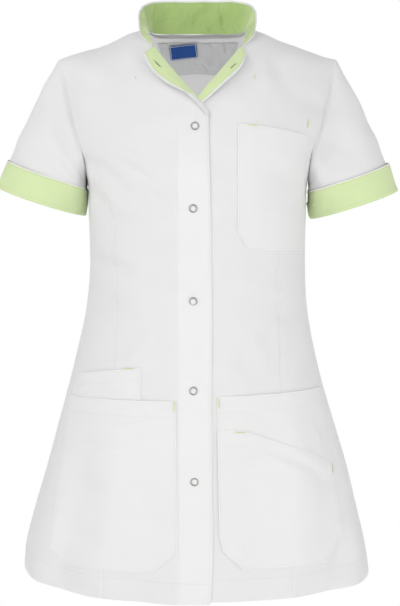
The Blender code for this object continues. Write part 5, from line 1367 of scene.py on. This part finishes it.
def neck_tape():
    a, d = neck_curve(0.52, 44)
    rows = spaced(0.008, 0.0016)[:, None]
    dd = d[None] + 0.0008 + 0.0072 * rows
    P, N = body(1, a[None] + 0 * dd, dd), outward(1, a[None] + 0 * dd, dd)
    P = P + N * (folds(1, P[..., 0], P[..., 2]) - 0.0019)[..., None]
    return cloth("neck_tape", [patch(P, -N, THICK * 0.8, sewn=sewn_from(P, (1, 1, 0, 0)))], TAPE_PAINTED_SHADE, "neck_tape"), P, -N


# ------------------------------------------------------------------ stitches, cords and snaps as geometry
def tube(points, normals, radius, sides=6, closed_ends=True, flat=1.0):
    """A round cord along points, flattened towards the cloth by flat."""
    p = np.asarray(points, float)
    tan = np.gradient(p, axis=0)
    tan /= np.maximum(np.linalg.norm(tan, axis=1, keepdims=True), 1e-12)
    n = normals - tan * np.sum(normals * tan, axis=1, keepdims=True)
    n /= np.maximum(np.linalg.norm(n, axis=1, keepdims=True), 1e-12)
    b = np.cross(tan, n)
    radius = np.broadcast_to(radius, (len(p),))
    th = np.arange(sides) / sides * 2 * np.pi
    v = p[:, None] + radius[:, None, None] * (np.cos(th)[None, :, None] * b[:, None] + flat * np.sin(th)[None, :, None] * n[:, None])
    faces = quads(len(p), sides, True).tolist()
    base = v.reshape(-1, 3)
    faces.append(list(range(sides))[::-1])
    faces.append([(len(p) - 1) * sides + k for k in range(sides)])
    return base, faces


class Heap:
    def __init__(self):
        self.v, self.f, self.n = [], [], 0

    def add(self, v, f):
        self.v.append(np.asarray(v))
        self.f.extend([[int(i) + self.n for i in q] for q in f])
        self.n += len(v)

    def build(self, name, material, slot, parent):
        if not self.v:
            return None
        obj = new_object(name, np.concatenate(self.v), self.f, material)
        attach(obj, "root")
        TRIM.setdefault(parent, []).append(obj)
        return obj


def run_stitches(heap, pts, nrm, pitch=0.0027, share=0.72, radius=0.00021, up=0.00012, jitter=0.00008, seed=0):
    """Lockstitch: short threads that dip into the cloth at both ends."""
    g = np.random.default_rng(1000 + seed)
    run = np.concatenate([[0], np.cumsum(np.linalg.norm(np.diff(pts, axis=0), axis=1))])
    count = int(run[-1] / pitch)
    if count < 1:
        return
    for k in range(count):
        a, b = k * pitch, k * pitch + pitch * share
        s = np.linspace(a, b, 5)
        p = np.stack([np.interp(s, run, pts[:, c]) for c in range(3)], 1)
        n = np.stack([np.interp(s, run, nrm[:, c]) for c in range(3)], 1)
        n /= np.linalg.norm(n, axis=1, keepdims=True)
        h = np.array([-0.00022, 0.5, 1.0, 0.5, -0.00022])
        h = np.array([-0.00020, up * 0.7, up, up * 0.7, -0.00020])
        p = p + n * h[:, None] + g.normal(0, jitter, 3) * np.array([1, 0.2, 0.2])
        heap.add(*tube(p, n, radius * np.array([0.75, 1, 1, 1, 0.75]), 5, flat=0.8))


def bar(heap, a, b, normal, width=0.0017, pitch=0.00038, radius=0.00022, up=0.0003):
    """A bartack: close threads across the line from a to b."""
    a, b = np.asarray(a, float), np.asarray(b, float)
    along = b - a
    length = np.linalg.norm(along)
    along = along / length
    across = np.cross(along, normal)
    across /= np.linalg.norm(across)
    count = max(4, int(length / pitch))
    for k in range(count):
        c = a + along * (length * (k + 0.5) / count)
        s = np.linspace(-0.5, 0.5, 5)[:, None]
        p = c + across * s * width + along * 0.00012 * (1 if k % 2 else -1) * s * 2 + normal * (up + 0.00025 - 0.0011 * s**2)
        heap.add(*tube(p, np.broadcast_to(normal, (5, 3)), radius, 5, flat=0.8))


def surf(x, z, up=0.0):
    """Points and normals of the outer face of the front at millimetre x and z."""
    x, z = np.atleast_1d(np.asarray(x, float)) / 1000, np.atleast_1d(np.asarray(z, float)) / 1000
    a, d = chart(-1, x, z)
    p, n = body(-1, a, d), outward(-1, a, d)
    lift = folds(-1, p[:, 0], p[:, 2]) + THICK / 2 + up
    return p + n * lift[:, None], n


def front_up(side, x, z):
    return (upper_lift(x, z) + band_lift(x, z)) if side < 0 else 0 * x


def grid_line(P, N, inset_m, which, lo=0.0, hi=1.0, up=THICK / 2):
    """Points at inset_m from one side of a grid: 0 first row, 1 last row, 2 first column, 3 last column."""
    axis = 0 if which in (0, 1) else 1
    run = lengths(P, axis)
    size = run[-1:] if axis == 0 else run[:, -1:]
    m = P.shape[1] if axis == 0 else P.shape[0]
    pts, ns = [], []
    for j in range(m):
        r = run[:, j] if axis == 0 else run[j]
        at = inset_m if which in (0, 2) else r[-1] - inset_m
        col = P[:, j] if axis == 0 else P[j]
        ncol = N[:, j] if axis == 0 else N[j]
        pts.append([np.interp(at, r, col[:, c]) for c in range(3)])
        ns.append([np.interp(at, r, ncol[:, c]) for c in range(3)])
    pts, ns = np.array(pts), np.array(ns)
    ns /= np.linalg.norm(ns, axis=1, keepdims=True)
    k0, k1 = int(lo * (m - 1)), int(hi * (m - 1)) + 1
    return pts[k0:k1] + ns[k0:k1] * up, ns[k0:k1]


# ------------------------------------------------------------------ build the cloth
front, front_grid, side_grid, sleeve_grid, cuff_grids = {}, {}, {}, {}, {}
for side in (-1, 1):
    front[side], P, N = front_panel(side)
    front_grid[side] = (P, N)
    _, P, N = side_panel(side)
    side_grid[side] = (P, N)
    _, P, N, A = sleeve(side)
    sleeve_grid[side] = (P, N, A)
    _, P, N, k = cuff(side)
    cuff_grids[side] = (P, N, k)
    lapel_facing(side)
_, BACK_P, BACK_N = back_panel()
_, COL_P, COL_N, COL_U, COL_F = collar_outer()
collar_inner()
pocket_grid = {}
for name in POCKETS:
    _, P, N = pocket(name)
    pocket_grid[name] = (P, N)
_, FACE_P, FACE_N = inside_back("back_neck_facing", "back_neck_facing", 0.0, (0.056, 0.040), lambda x: z_neck(x) - 0.0100, -0.0495, 0.0045,
                                0.0017, INSIDE_PAINTED_SHADE, wave=0.0024)
_, TAG_P, TAG_N = inside_back("label", "label", -0.0200, (0.0192, 0.0192), lambda x: np.full(np.shape(x), -0.0040), -0.0233, 0.0,
                              0.0049, BLUE, wave=0.0002)
_, TAPE_P, TAPE_N = neck_tape()

# ------------------------------------------------------------------ snaps: a pressed ring with the cloth showing in its middle
def snap(index):
    x, z = SNAP_X[index] * 1000, SNAP_Z[index] * 1000
    p, n = surf(x, z, upper_lift(x / 1000, z / 1000) + band_lift(x / 1000, z / 1000))
    c, n = p[0], n[0]
    u = np.array([1.0, 0, 0]) - n * n[0]
    u /= np.linalg.norm(u)
    v = np.cross(n, u)
    prof = [(0.00360, -0.0002), (0.00366, 0.00035), (0.00385, 0.00070), (0.00415, 0.00095), (0.00450, 0.00108), (0.00490, 0.00106),
            (0.00525, 0.00090), (0.00552, 0.00062), (0.00566, 0.00028), (0.00570, -0.0002)]
    th = np.arange(48) / 48 * 2 * np.pi
    e = np.cos(th)[:, None] * u + np.sin(th)[:, None] * v
    verts = np.concatenate([c + e * r + n * h for r, h in prof])
    m = 48
    faces = []
    for i in range(len(prof)):
        j = (i + 1) % len(prof)
        for k in range(m):
            faces.append([i * m + k, i * m + (k + 1) % m, j * m + (k + 1) % m, j * m + k][::-1])
    obj = new_object("snap_%d_ring" % (index + 1), verts, faces, STEEL)
    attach(obj, "root"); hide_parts("snap_%d" % (index + 1))
    # the cloth that the prongs hold in the ring's middle
    dome = [(0.0, 0.00060), (0.0009, 0.00058), (0.0018, 0.00050), (0.0026, 0.00034), (0.0033, 0.00010), (0.0037, -0.0002)]
    verts = [c + n * dome[0][1]]
    for r, h in dome[1:]:
        verts.extend(c + e[::2] * r + n * h)
    faces = [[0, 1 + k, 1 + (k + 1) % 24] for k in range(24)]
    for i in range(len(dome) - 2):
        for k in range(24):
            faces.append([1 + i * 24 + k, 1 + (i + 1) * 24 + k, 1 + (i + 1) * 24 + (k + 1) % 24, 1 + i * 24 + (k + 1) % 24])
    low = [c - n * 0.0006]
    verts = np.array(verts + low)
    last = 1 + (len(dome) - 2) * 24
    for k in range(24):
        faces.append([last + k, len(verts) - 1, last + (k + 1) % 24])
    uv = np.stack([(verts - c) @ u, (verts - c) @ v], -1)
    d = new_object("snap_%d_cloth" % (index + 1), verts, faces, WHITE_TRIM, uv=uv)
    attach(d, "root")
    TRIM.setdefault("front_right", []).append(d)


for i in range(5):
    snap(i)

# ------------------------------------------------------------------ stitching
for side in (-1, 1):
    P, N = front_grid[side]
    key = "front_right" if side < 0 else "front_left"
    h = Heap()
    if side < 0:
        # along the placket's edge, from the hem to the break
        z = np.arange(-750, -112, 2.6)
        x = edge_x(z / 1000) * 1000 - 2.2
        p, n = surf(x, z, 0); p = p + n * front_up(side, x / 1000, z / 1000)[:, None]
        run_stitches(h, p, n, seed=1)
        # the line that holds the band, from below the lapel to the hem
        z = np.arange(-748, -128, 2.6)
        x = np.full(z.shape, BAND_X * 1000) + 2.2 * step(z / 1000, -0.40, -0.62)
        p, n = surf(x, z, 0); p = p + n * front_up(side, x / 1000, z / 1000)[:, None]
        run_stitches(h, p, n, seed=2)
    p, n = grid_line(P, N, 0.029, 0, 0.03, 0.99)
    run_stitches(h, p, n, seed=3 + side)
    p, n = grid_line(P, N, 0.0020, 3, 0.03, 0.97)
    run_stitches(h, p, n, seed=5 + side)
    h.build("stitches_" + key, THREAD, "white_cloth", key)
    P, N = side_grid[side]
    key = "side_front_right" if side < 0 else "side_front_left"
    h = Heap()
    p, n = grid_line(P, N, 0.029, 0, 0.01, 0.99)
    run_stitches(h, p, n, seed=8 + side)
    h.build("stitches_" + key, THREAD, "white_cloth", key)
    # cuffs: a white bead on the top edge, stitches above the fold
    P, N, k = cuff_grids[side]
    h, g = Heap(), Heap()
    closed = np.concatenate([P[0], P[0][:1]]) + np.concatenate([N[0], N[0][:1]]) * 0.0001
    g.add(*tube(closed, np.concatenate([N[0], N[0][:1]]), 0.00085, 8))
    g.build("cuff_piping_" + ("right" if side < 0 else "left"), WHITE_TRIM, "white_cloth", "cuff_right" if side < 0 else "cuff_left")
    for inset_m, w in ((0.0024, 1),):
        run = lengths(P, 0)
        ring_p = np.array([[np.interp(inset_m, run[:, j], P[:, j, c]) for c in range(3)] for j in range(P.shape[1])])
        ring_n = np.array([[np.interp(inset_m, run[:, j], N[:, j, c]) for c in range(3)] for j in range(P.shape[1])])
        run_stitches(h, np.concatenate([ring_p, ring_p[:1]]) + np.concatenate([ring_n, ring_n[:1]]) * THICK / 2,
                     np.concatenate([ring_n, ring_n[:1]]), seed=11 + side)
    low = P[k - 2] + N[k - 2] * THICK / 2
    run_stitches(h, np.concatenate([low, low[:1]]), np.concatenate([N[k - 2], N[k - 2][:1]]), seed=13 + side)
    h.build("stitches_cuff_" + ("right" if side < 0 else "left"), THREAD_LIME, "lime_cloth", "cuff_right" if side < 0 else "cuff_left")
    # sleeve head
    P, N, A = sleeve_grid[side]
    h = Heap()
    run = lengths(P, 0)
    ring_p = np.array([[np.interp(0.0052, run[:, j], P[:, j, c]) for c in range(3)] for j in range(P.shape[1])])
    ring_n = np.array([[np.interp(0.0052, run[:, j], N[:, j, c]) for c in range(3)] for j in range(P.shape[1])])
    run_stitches(h, np.concatenate([ring_p, ring_p[:1]]) + np.concatenate([ring_n, ring_n[:1]]) * THICK / 2, np.concatenate([ring_n, ring_n[:1]]), seed=15 + side)
    h.build("stitches_sleeve_" + ("right" if side < 0 else "left"), THREAD, "white_cloth", "sleeve_right" if side < 0 else "sleeve_left")

h = Heap()
p, n = grid_line(BACK_P, BACK_N, 0.029, 0)
run_stitches(h, p, n, seed=20)
h.build("stitches_back", THREAD, "white_cloth", "back")

for name, (P, N) in pocket_grid.items():
    h = Heap()
    for k, w in enumerate((1, 2, 3)):
        p, n = grid_line(P, N, 0.0022, w, 0.01, 0.99)
        run_stitches(h, p, n, seed=30 + k)
    if name != "chest_pocket":
        p, n = grid_line(P, N, 0.0210 if name != "phone_pocket_right" else 0.016, 0, 0.02, 0.98)
        run_stitches(h, p, n, seed=34)
    h.build("stitches_" + name, THREAD, "white_cloth", name)


def tack(heap, x0, z0, x1, z1, up):
    p, n = surf([x0, x1], [z0, z1], up)
    bar(heap, p[0], p[1], (n[0] + n[1]) / 2)


h = Heap()
tack(h, 65.9, -125.9, 77.0, -125.8, 0.0030)
tack(h, 145.1, -116.0, 145.1, -126.3, 0.0004)
h.build("bartacks_chest_pocket", THREAD_TACK, "white_cloth", "chest_pocket")
h = Heap()
tack(h, -30.0, -484.5, -30.0, -498.0, 0.0030)
h.build("bartacks_lower_pocket_right", THREAD_TACK, "white_cloth", "lower_pocket_right")
h = Heap()
tack(h, -96.0, -444.0, -84.0, -443.0, 0.0022)
h.build("bartacks_phone_pocket_right", THREAD_TACK, "white_cloth", "phone_pocket_right")
h = Heap()
tack(h, 28.0, -481.0, 28.0, -494.0, 0.0022)
h.build("bartacks_lower_pocket_left", THREAD_TACK, "white_cloth", "lower_pocket_left")
h = Heap()
tack(h, 48.9, -525.3, 62.7, -525.5, 0.0042)
tack(h, 180.0, -574.5, 181.2, -587.0, 0.0030)
h.build("bartacks_small_pocket_left", THREAD_TACK, "white_cloth", "small_pocket_left")

def on_lapel(side, x, z):
    """Height of the lapel facing's outer side above the front at x and z (metres), by nearest grid point."""
    i = np.linspace(ROWS + FIRST[side], ROWS + ROLL_ROWS, 60)
    G, N = lapel_grid(side, i, 0.00085, 0.0017)
    pts, ns = G[:, 7:].reshape(-1, 3), N[:, 7:].reshape(-1, 3)
    out_p, out_n = [], []
    for xx, zz in zip(x, z):
        w = 1 / ((pts[:, 0] - xx) ** 2 + (pts[:, 2] - zz) ** 2 + 1e-8) ** 2
        k = np.argsort(w)[-6:]
        ww = w[k] / w[k].sum()
        n = (ns[k] * ww[:, None]).sum(0); n /= np.linalg.norm(n)
        y = (pts[k, 1] * ww).sum()
        out_p.append(np.array([xx, y, zz]) + n * THICK / 2)
        out_n.append(n)
    return np.array(out_p), np.array(out_n)


# worked slits in the lapels
for side, a, b in ((-1, (-57.1, -39.5), (-47.7, -49.1)), (1, (50.4, -44.2), (43.6, -50.4))):
    s = np.linspace(0, 1, 9)
    x, z = (a[0] + (b[0] - a[0]) * s) / 1000, (a[1] + (b[1] - a[1]) * s) / 1000
    p, n = on_lapel(side, x, z)
    key = "lapel_facing_right" if side < 0 else "lapel_facing_left"
    h = Heap()
    # the dark cord down the slit's middle is painted shade in the cut
    h.add(*tube(p + n * 0.00005, n, 0.00055 * np.sqrt(np.clip(1 - (2 * s - 1) ** 6, 0.05, 1)), 8, flat=0.5))
    h.build("slit_" + key, SLIT_PAINTED_SHADE, "lime_cloth", key)
    h = Heap()
    along = (p[-1] - p[0]) / np.linalg.norm(p[-1] - p[0])
    across = np.cross(along, n[4]); across /= np.linalg.norm(across)
    for sgn in (-1, 1):
        count = 26
        for k in range(count):
            t = (k + 0.5) / count
            c = p[0] + (p[-1] - p[0]) * t + across * sgn * 0.0010
            q = np.linspace(-0.5, 0.5, 4)[:, None]
            pts = c + across * q * 0.0011 + n[4] * (0.00030 - 0.0009 * q**2)
            h.add(*tube(pts, np.broadcast_to(n[4], (4, 3)), 0.00018, 5, flat=0.8))
    bar(h, p[0] - across * 0.0014, p[0] + across * 0.0014, n[0], width=0.0012)
    bar(h, p[-1] - across * 0.0014, p[-1] + across * 0.0014, n[-1], width=0.0012)
    h.build("slit_stitches_" + key, THREAD_LIME, "lime_cloth", key)
    # edge stitching of the lapel
    i = np.linspace(ROWS + (1.0 if side < 0 else FIRST[side]), ROWS + ROLL_ROWS, 60)
    G, N = lapel_grid(side, i, 0.00085, 0.0017)
    h = Heap()
    p, n = grid_line(G, N, 0.0022, 3, 0.02, 0.97)
    run_stitches(h, p, n, seed=50 + side)
    h.build("stitches_" + key, THREAD_LIME, "lime_cloth", key)

# collar: stitches inside its upper edge, on the inner and the outer face
h = Heap()
run = lengths(COL_P, 0)
pts = np.array([[np.interp(run[-1, j] - 0.0058, run[:, j], COL_P[:, j, c]) for c in range(3)] for j in range(COL_P.shape[1])])
ns = np.array([[np.interp(run[-1, j] - 0.0058, run[:, j], COL_N[:, j, c]) for c in range(3)] for j in range(COL_P.shape[1])])
run_stitches(h, pts[3:-3] - ns[3:-3] * (0.00055 + THICK / 2), -ns[3:-3], seed=60)
h.build("stitches_collar_inner", THREAD_LIME, "lime_cloth", "collar_inner")
h = Heap()
run_stitches(h, pts[3:-3] + ns[3:-3] * (0.00055 + THICK / 2), ns[3:-3], seed=61)
h.build("stitches_collar_outer", THREAD, "white_cloth", "collar_outer")

# back neck: double piping under the collar seam, stitches of the facing, border of the label
h = Heap()
for drop, r in ((0.0012, 0.0007), (0.0034, 0.0006)):
    a, d = neck_curve(0.50, 60)
    P, N = body(1, a, d + drop), outward(1, a, d + drop)
    P = P + N * (folds(1, P[:, 0], P[:, 2]) - 0.0026)[:, None]
    h.add(*tube(P, -N, r, 8))
h.build("neck_piping", CORD_PAINTED_SHADE, "white_cloth", "neck_tape")
h = Heap()
for w in (1, 2, 3):
    p, n = grid_line(FACE_P, FACE_N, 0.0020, w, 0.01, 0.99)
    run_stitches(h, p, n, seed=70 + w)
p, n = grid_line(FACE_P, FACE_N, 0.0052, 1, 0.47, 0.54)
bar(h, p[0], p[-1], n[0])
h.build("stitches_back_neck_facing", THREAD, "white_cloth", "back_neck_facing")
h = Heap()
for w in (0, 1, 2, 3):
    p, n = grid_line(TAG_P, TAG_N, 0.0012, w, 0.03, 0.97)
    h.add(*tube(p, n, 0.00032, 6, flat=0.6))
h.build("label_border", THREAD, "label_cloth", "label")
# neck tacks at the notches
h = Heap()
for x0, z0, x1, z1 in ((-81.1, -60.0, -79.9, -64.8), (75.6, -58.5, 74.2, -63.9)):
    p, n = surf([x0, x1], [z0, z1], 0.0004)
    bar(h, p[0], p[1], n[0], width=0.0011)
h.build("bartacks_neck", THREAD_TACK, "white_cloth", "front_right")

# ------------------------------------------------------------------ floor, light, world
def disc(name, radius, z):
    rings, m = [0.0, 0.3, 0.7, 1.2, 1.8, 2.6, 4.0, 7.0, 12.0, 20.0], 64
    verts, faces = [(0.0, 0.0, z)], []
    for r in rings[1:]:
        for k in range(m):
            th = 2 * math.pi * k / m
            verts.append((r * radius * math.cos(th), r * radius * math.sin(th), z))
    for k in range(m):
        faces.append([0, 1 + k, 1 + (k + 1) % m])
    for i in range(len(rings) - 2):
        for k in range(m):
            a, b = 1 + i * m + k, 1 + i * m + (k + 1) % m
            faces.append([a, a + m, b + m, b])
    mesh = bpy.data.meshes.new(name)
    mesh.from_pydata(verts, [], faces)
    mesh.update()
    obj = bpy.data.objects.new(name, mesh)
    scene.collection.objects.link(obj)
    return obj


floor = disc("floor", 1.0, -1.40)
m, nt, p = nodes_of("floor_pale")
geo = nt.nodes.new("ShaderNodeNewGeometry")
sep = nt.nodes.new("ShaderNodeSeparateXYZ"); link(nt, geo.outputs["Position"], sep.inputs[0])
rr = math_node(nt, "SQRT", math_node(nt, "ADD", math_node(nt, "POWER", sep.outputs[0], 2.0), math_node(nt, "POWER", sep.outputs[1], 2.0)))
far = nt.nodes.new("ShaderNodeMapRange"); far.inputs["From Min"].default_value = 0.9; far.inputs["From Max"].default_value = 2.4
link(nt, rr, far.inputs["Value"])
noise = nt.nodes.new("ShaderNodeTexNoise"); noise.inputs["Scale"].default_value = 7.0
link(nt, geo.outputs["Position"], noise.inputs["Vector"])
ramp = nt.nodes.new("ShaderNodeMapRange"); ramp.inputs["To Min"].default_value = 0.86; ramp.inputs["To Max"].default_value = 0.90
link(nt, noise.outputs[0], ramp.inputs["Value"])
comb = nt.nodes.new("ShaderNodeCombineColor")
for k in range(3):
    link(nt, ramp.outputs[0], comb.inputs[k])
link(nt, comb.outputs[0], p.inputs["Base Color"])
p.inputs["Roughness"].default_value = 0.9
glow = nt.nodes.new("ShaderNodeEmission"); glow.inputs["Color"].default_value = (1, 1, 1, 1); glow.inputs["Strength"].default_value = 1.0
path = nt.nodes.new("ShaderNodeLightPath")
fade = nt.nodes.new("ShaderNodeMixShader")
link(nt, math_node(nt, "MULTIPLY", far.outputs[0], path.outputs["Is Camera Ray"]), fade.inputs[0])
link(nt, p.outputs[0], fade.inputs[1]); link(nt, glow.outputs[0], fade.inputs[2])
link(nt, fade.outputs[0], nt.nodes["Material Output"].inputs["Surface"])
floor.data.materials.append(m)

world = bpy.data.worlds.new("studio")
scene.world = world
world.use_nodes = True
wt = world.node_tree
bg = wt.nodes["Background"]
lp = wt.nodes.new("ShaderNodeLightPath")
bg.inputs["Color"].default_value = (1, 1, 1, 1)
WORLD_LIGHT = 0.58
# a little less from above than from the sides and the floor
tc = wt.nodes.new("ShaderNodeTexCoord"); sx = wt.nodes.new("ShaderNodeSeparateXYZ")
wt.links.new(tc.outputs["Generated"], sx.inputs[0])
up = wt.nodes.new("ShaderNodeMapRange")
up.inputs["From Min"].default_value = -0.2; up.inputs["From Max"].default_value = 1.0
up.inputs["To Min"].default_value = 1.26; up.inputs["To Max"].default_value = 0.76
wt.links.new(sx.outputs[2], up.inputs["Value"])
one = wt.nodes.new("ShaderNodeMath"); one.operation = "MULTIPLY"; one.inputs[1].default_value = WORLD_LIGHT
wt.links.new(up.outputs[0], one.inputs[0])
pick = wt.nodes.new("ShaderNodeMix"); pick.data_type = "FLOAT"
wt.links.new(lp.outputs["Is Camera Ray"], pick.inputs[0]); wt.links.new(one.outputs[0], pick.inputs[2])
pick.inputs[3].default_value = 1.0
wt.links.new(pick.outputs[0], bg.inputs["Strength"])


def area_light(name, where, size, power, target=(0, 0, -0.37)):
    from mathutils import Vector
    data = bpy.data.lights.new(name, "AREA")
    data.shape = "RECTANGLE"; data.size, data.size_y = size
    data.energy = power
    obj = bpy.data.objects.new(name, data)
    obj.location = where
    obj.rotation_euler = (Vector(target) - Vector(where)).to_track_quat("-Z", "Y").to_euler()
    scene.collection.objects.link(obj)
    return obj


area_light("key", (-1.4, -3.2, 0.45), (2.2, 2.0), 19)
area_light("fill", (1.6, -3.2, -0.10), (2.8, 2.6), 13)
area_light("left_side", (-2.5, -1.9, -0.75), (1.8, 1.8), 15, (-0.08, -0.05, -0.28))
area_light("right_side", (2.5, -1.9, -0.75), (1.8, 1.8), 24, (0.08, -0.05, -0.28))
area_light("back", (0.0, 2.9, 0.3), (2.8, 2.0), 30)
area_light("collar", (-1.15, -0.65, 1.30), (0.6, 0.5), 6, (0, 0.05, -0.02))
# what the bright cloth throws back inside the neck
bounce = area_light("inside", (-0.050, -0.040, -0.165), (0.09, 0.06), 0.125, (0.015, 0.080, -0.060))
bounce.visible_camera = False

scene.view_settings.view_transform = "Standard"
scene.view_settings.look = "None"
scene.view_settings.exposure = 0.0
scene.view_settings.gamma = 1.0
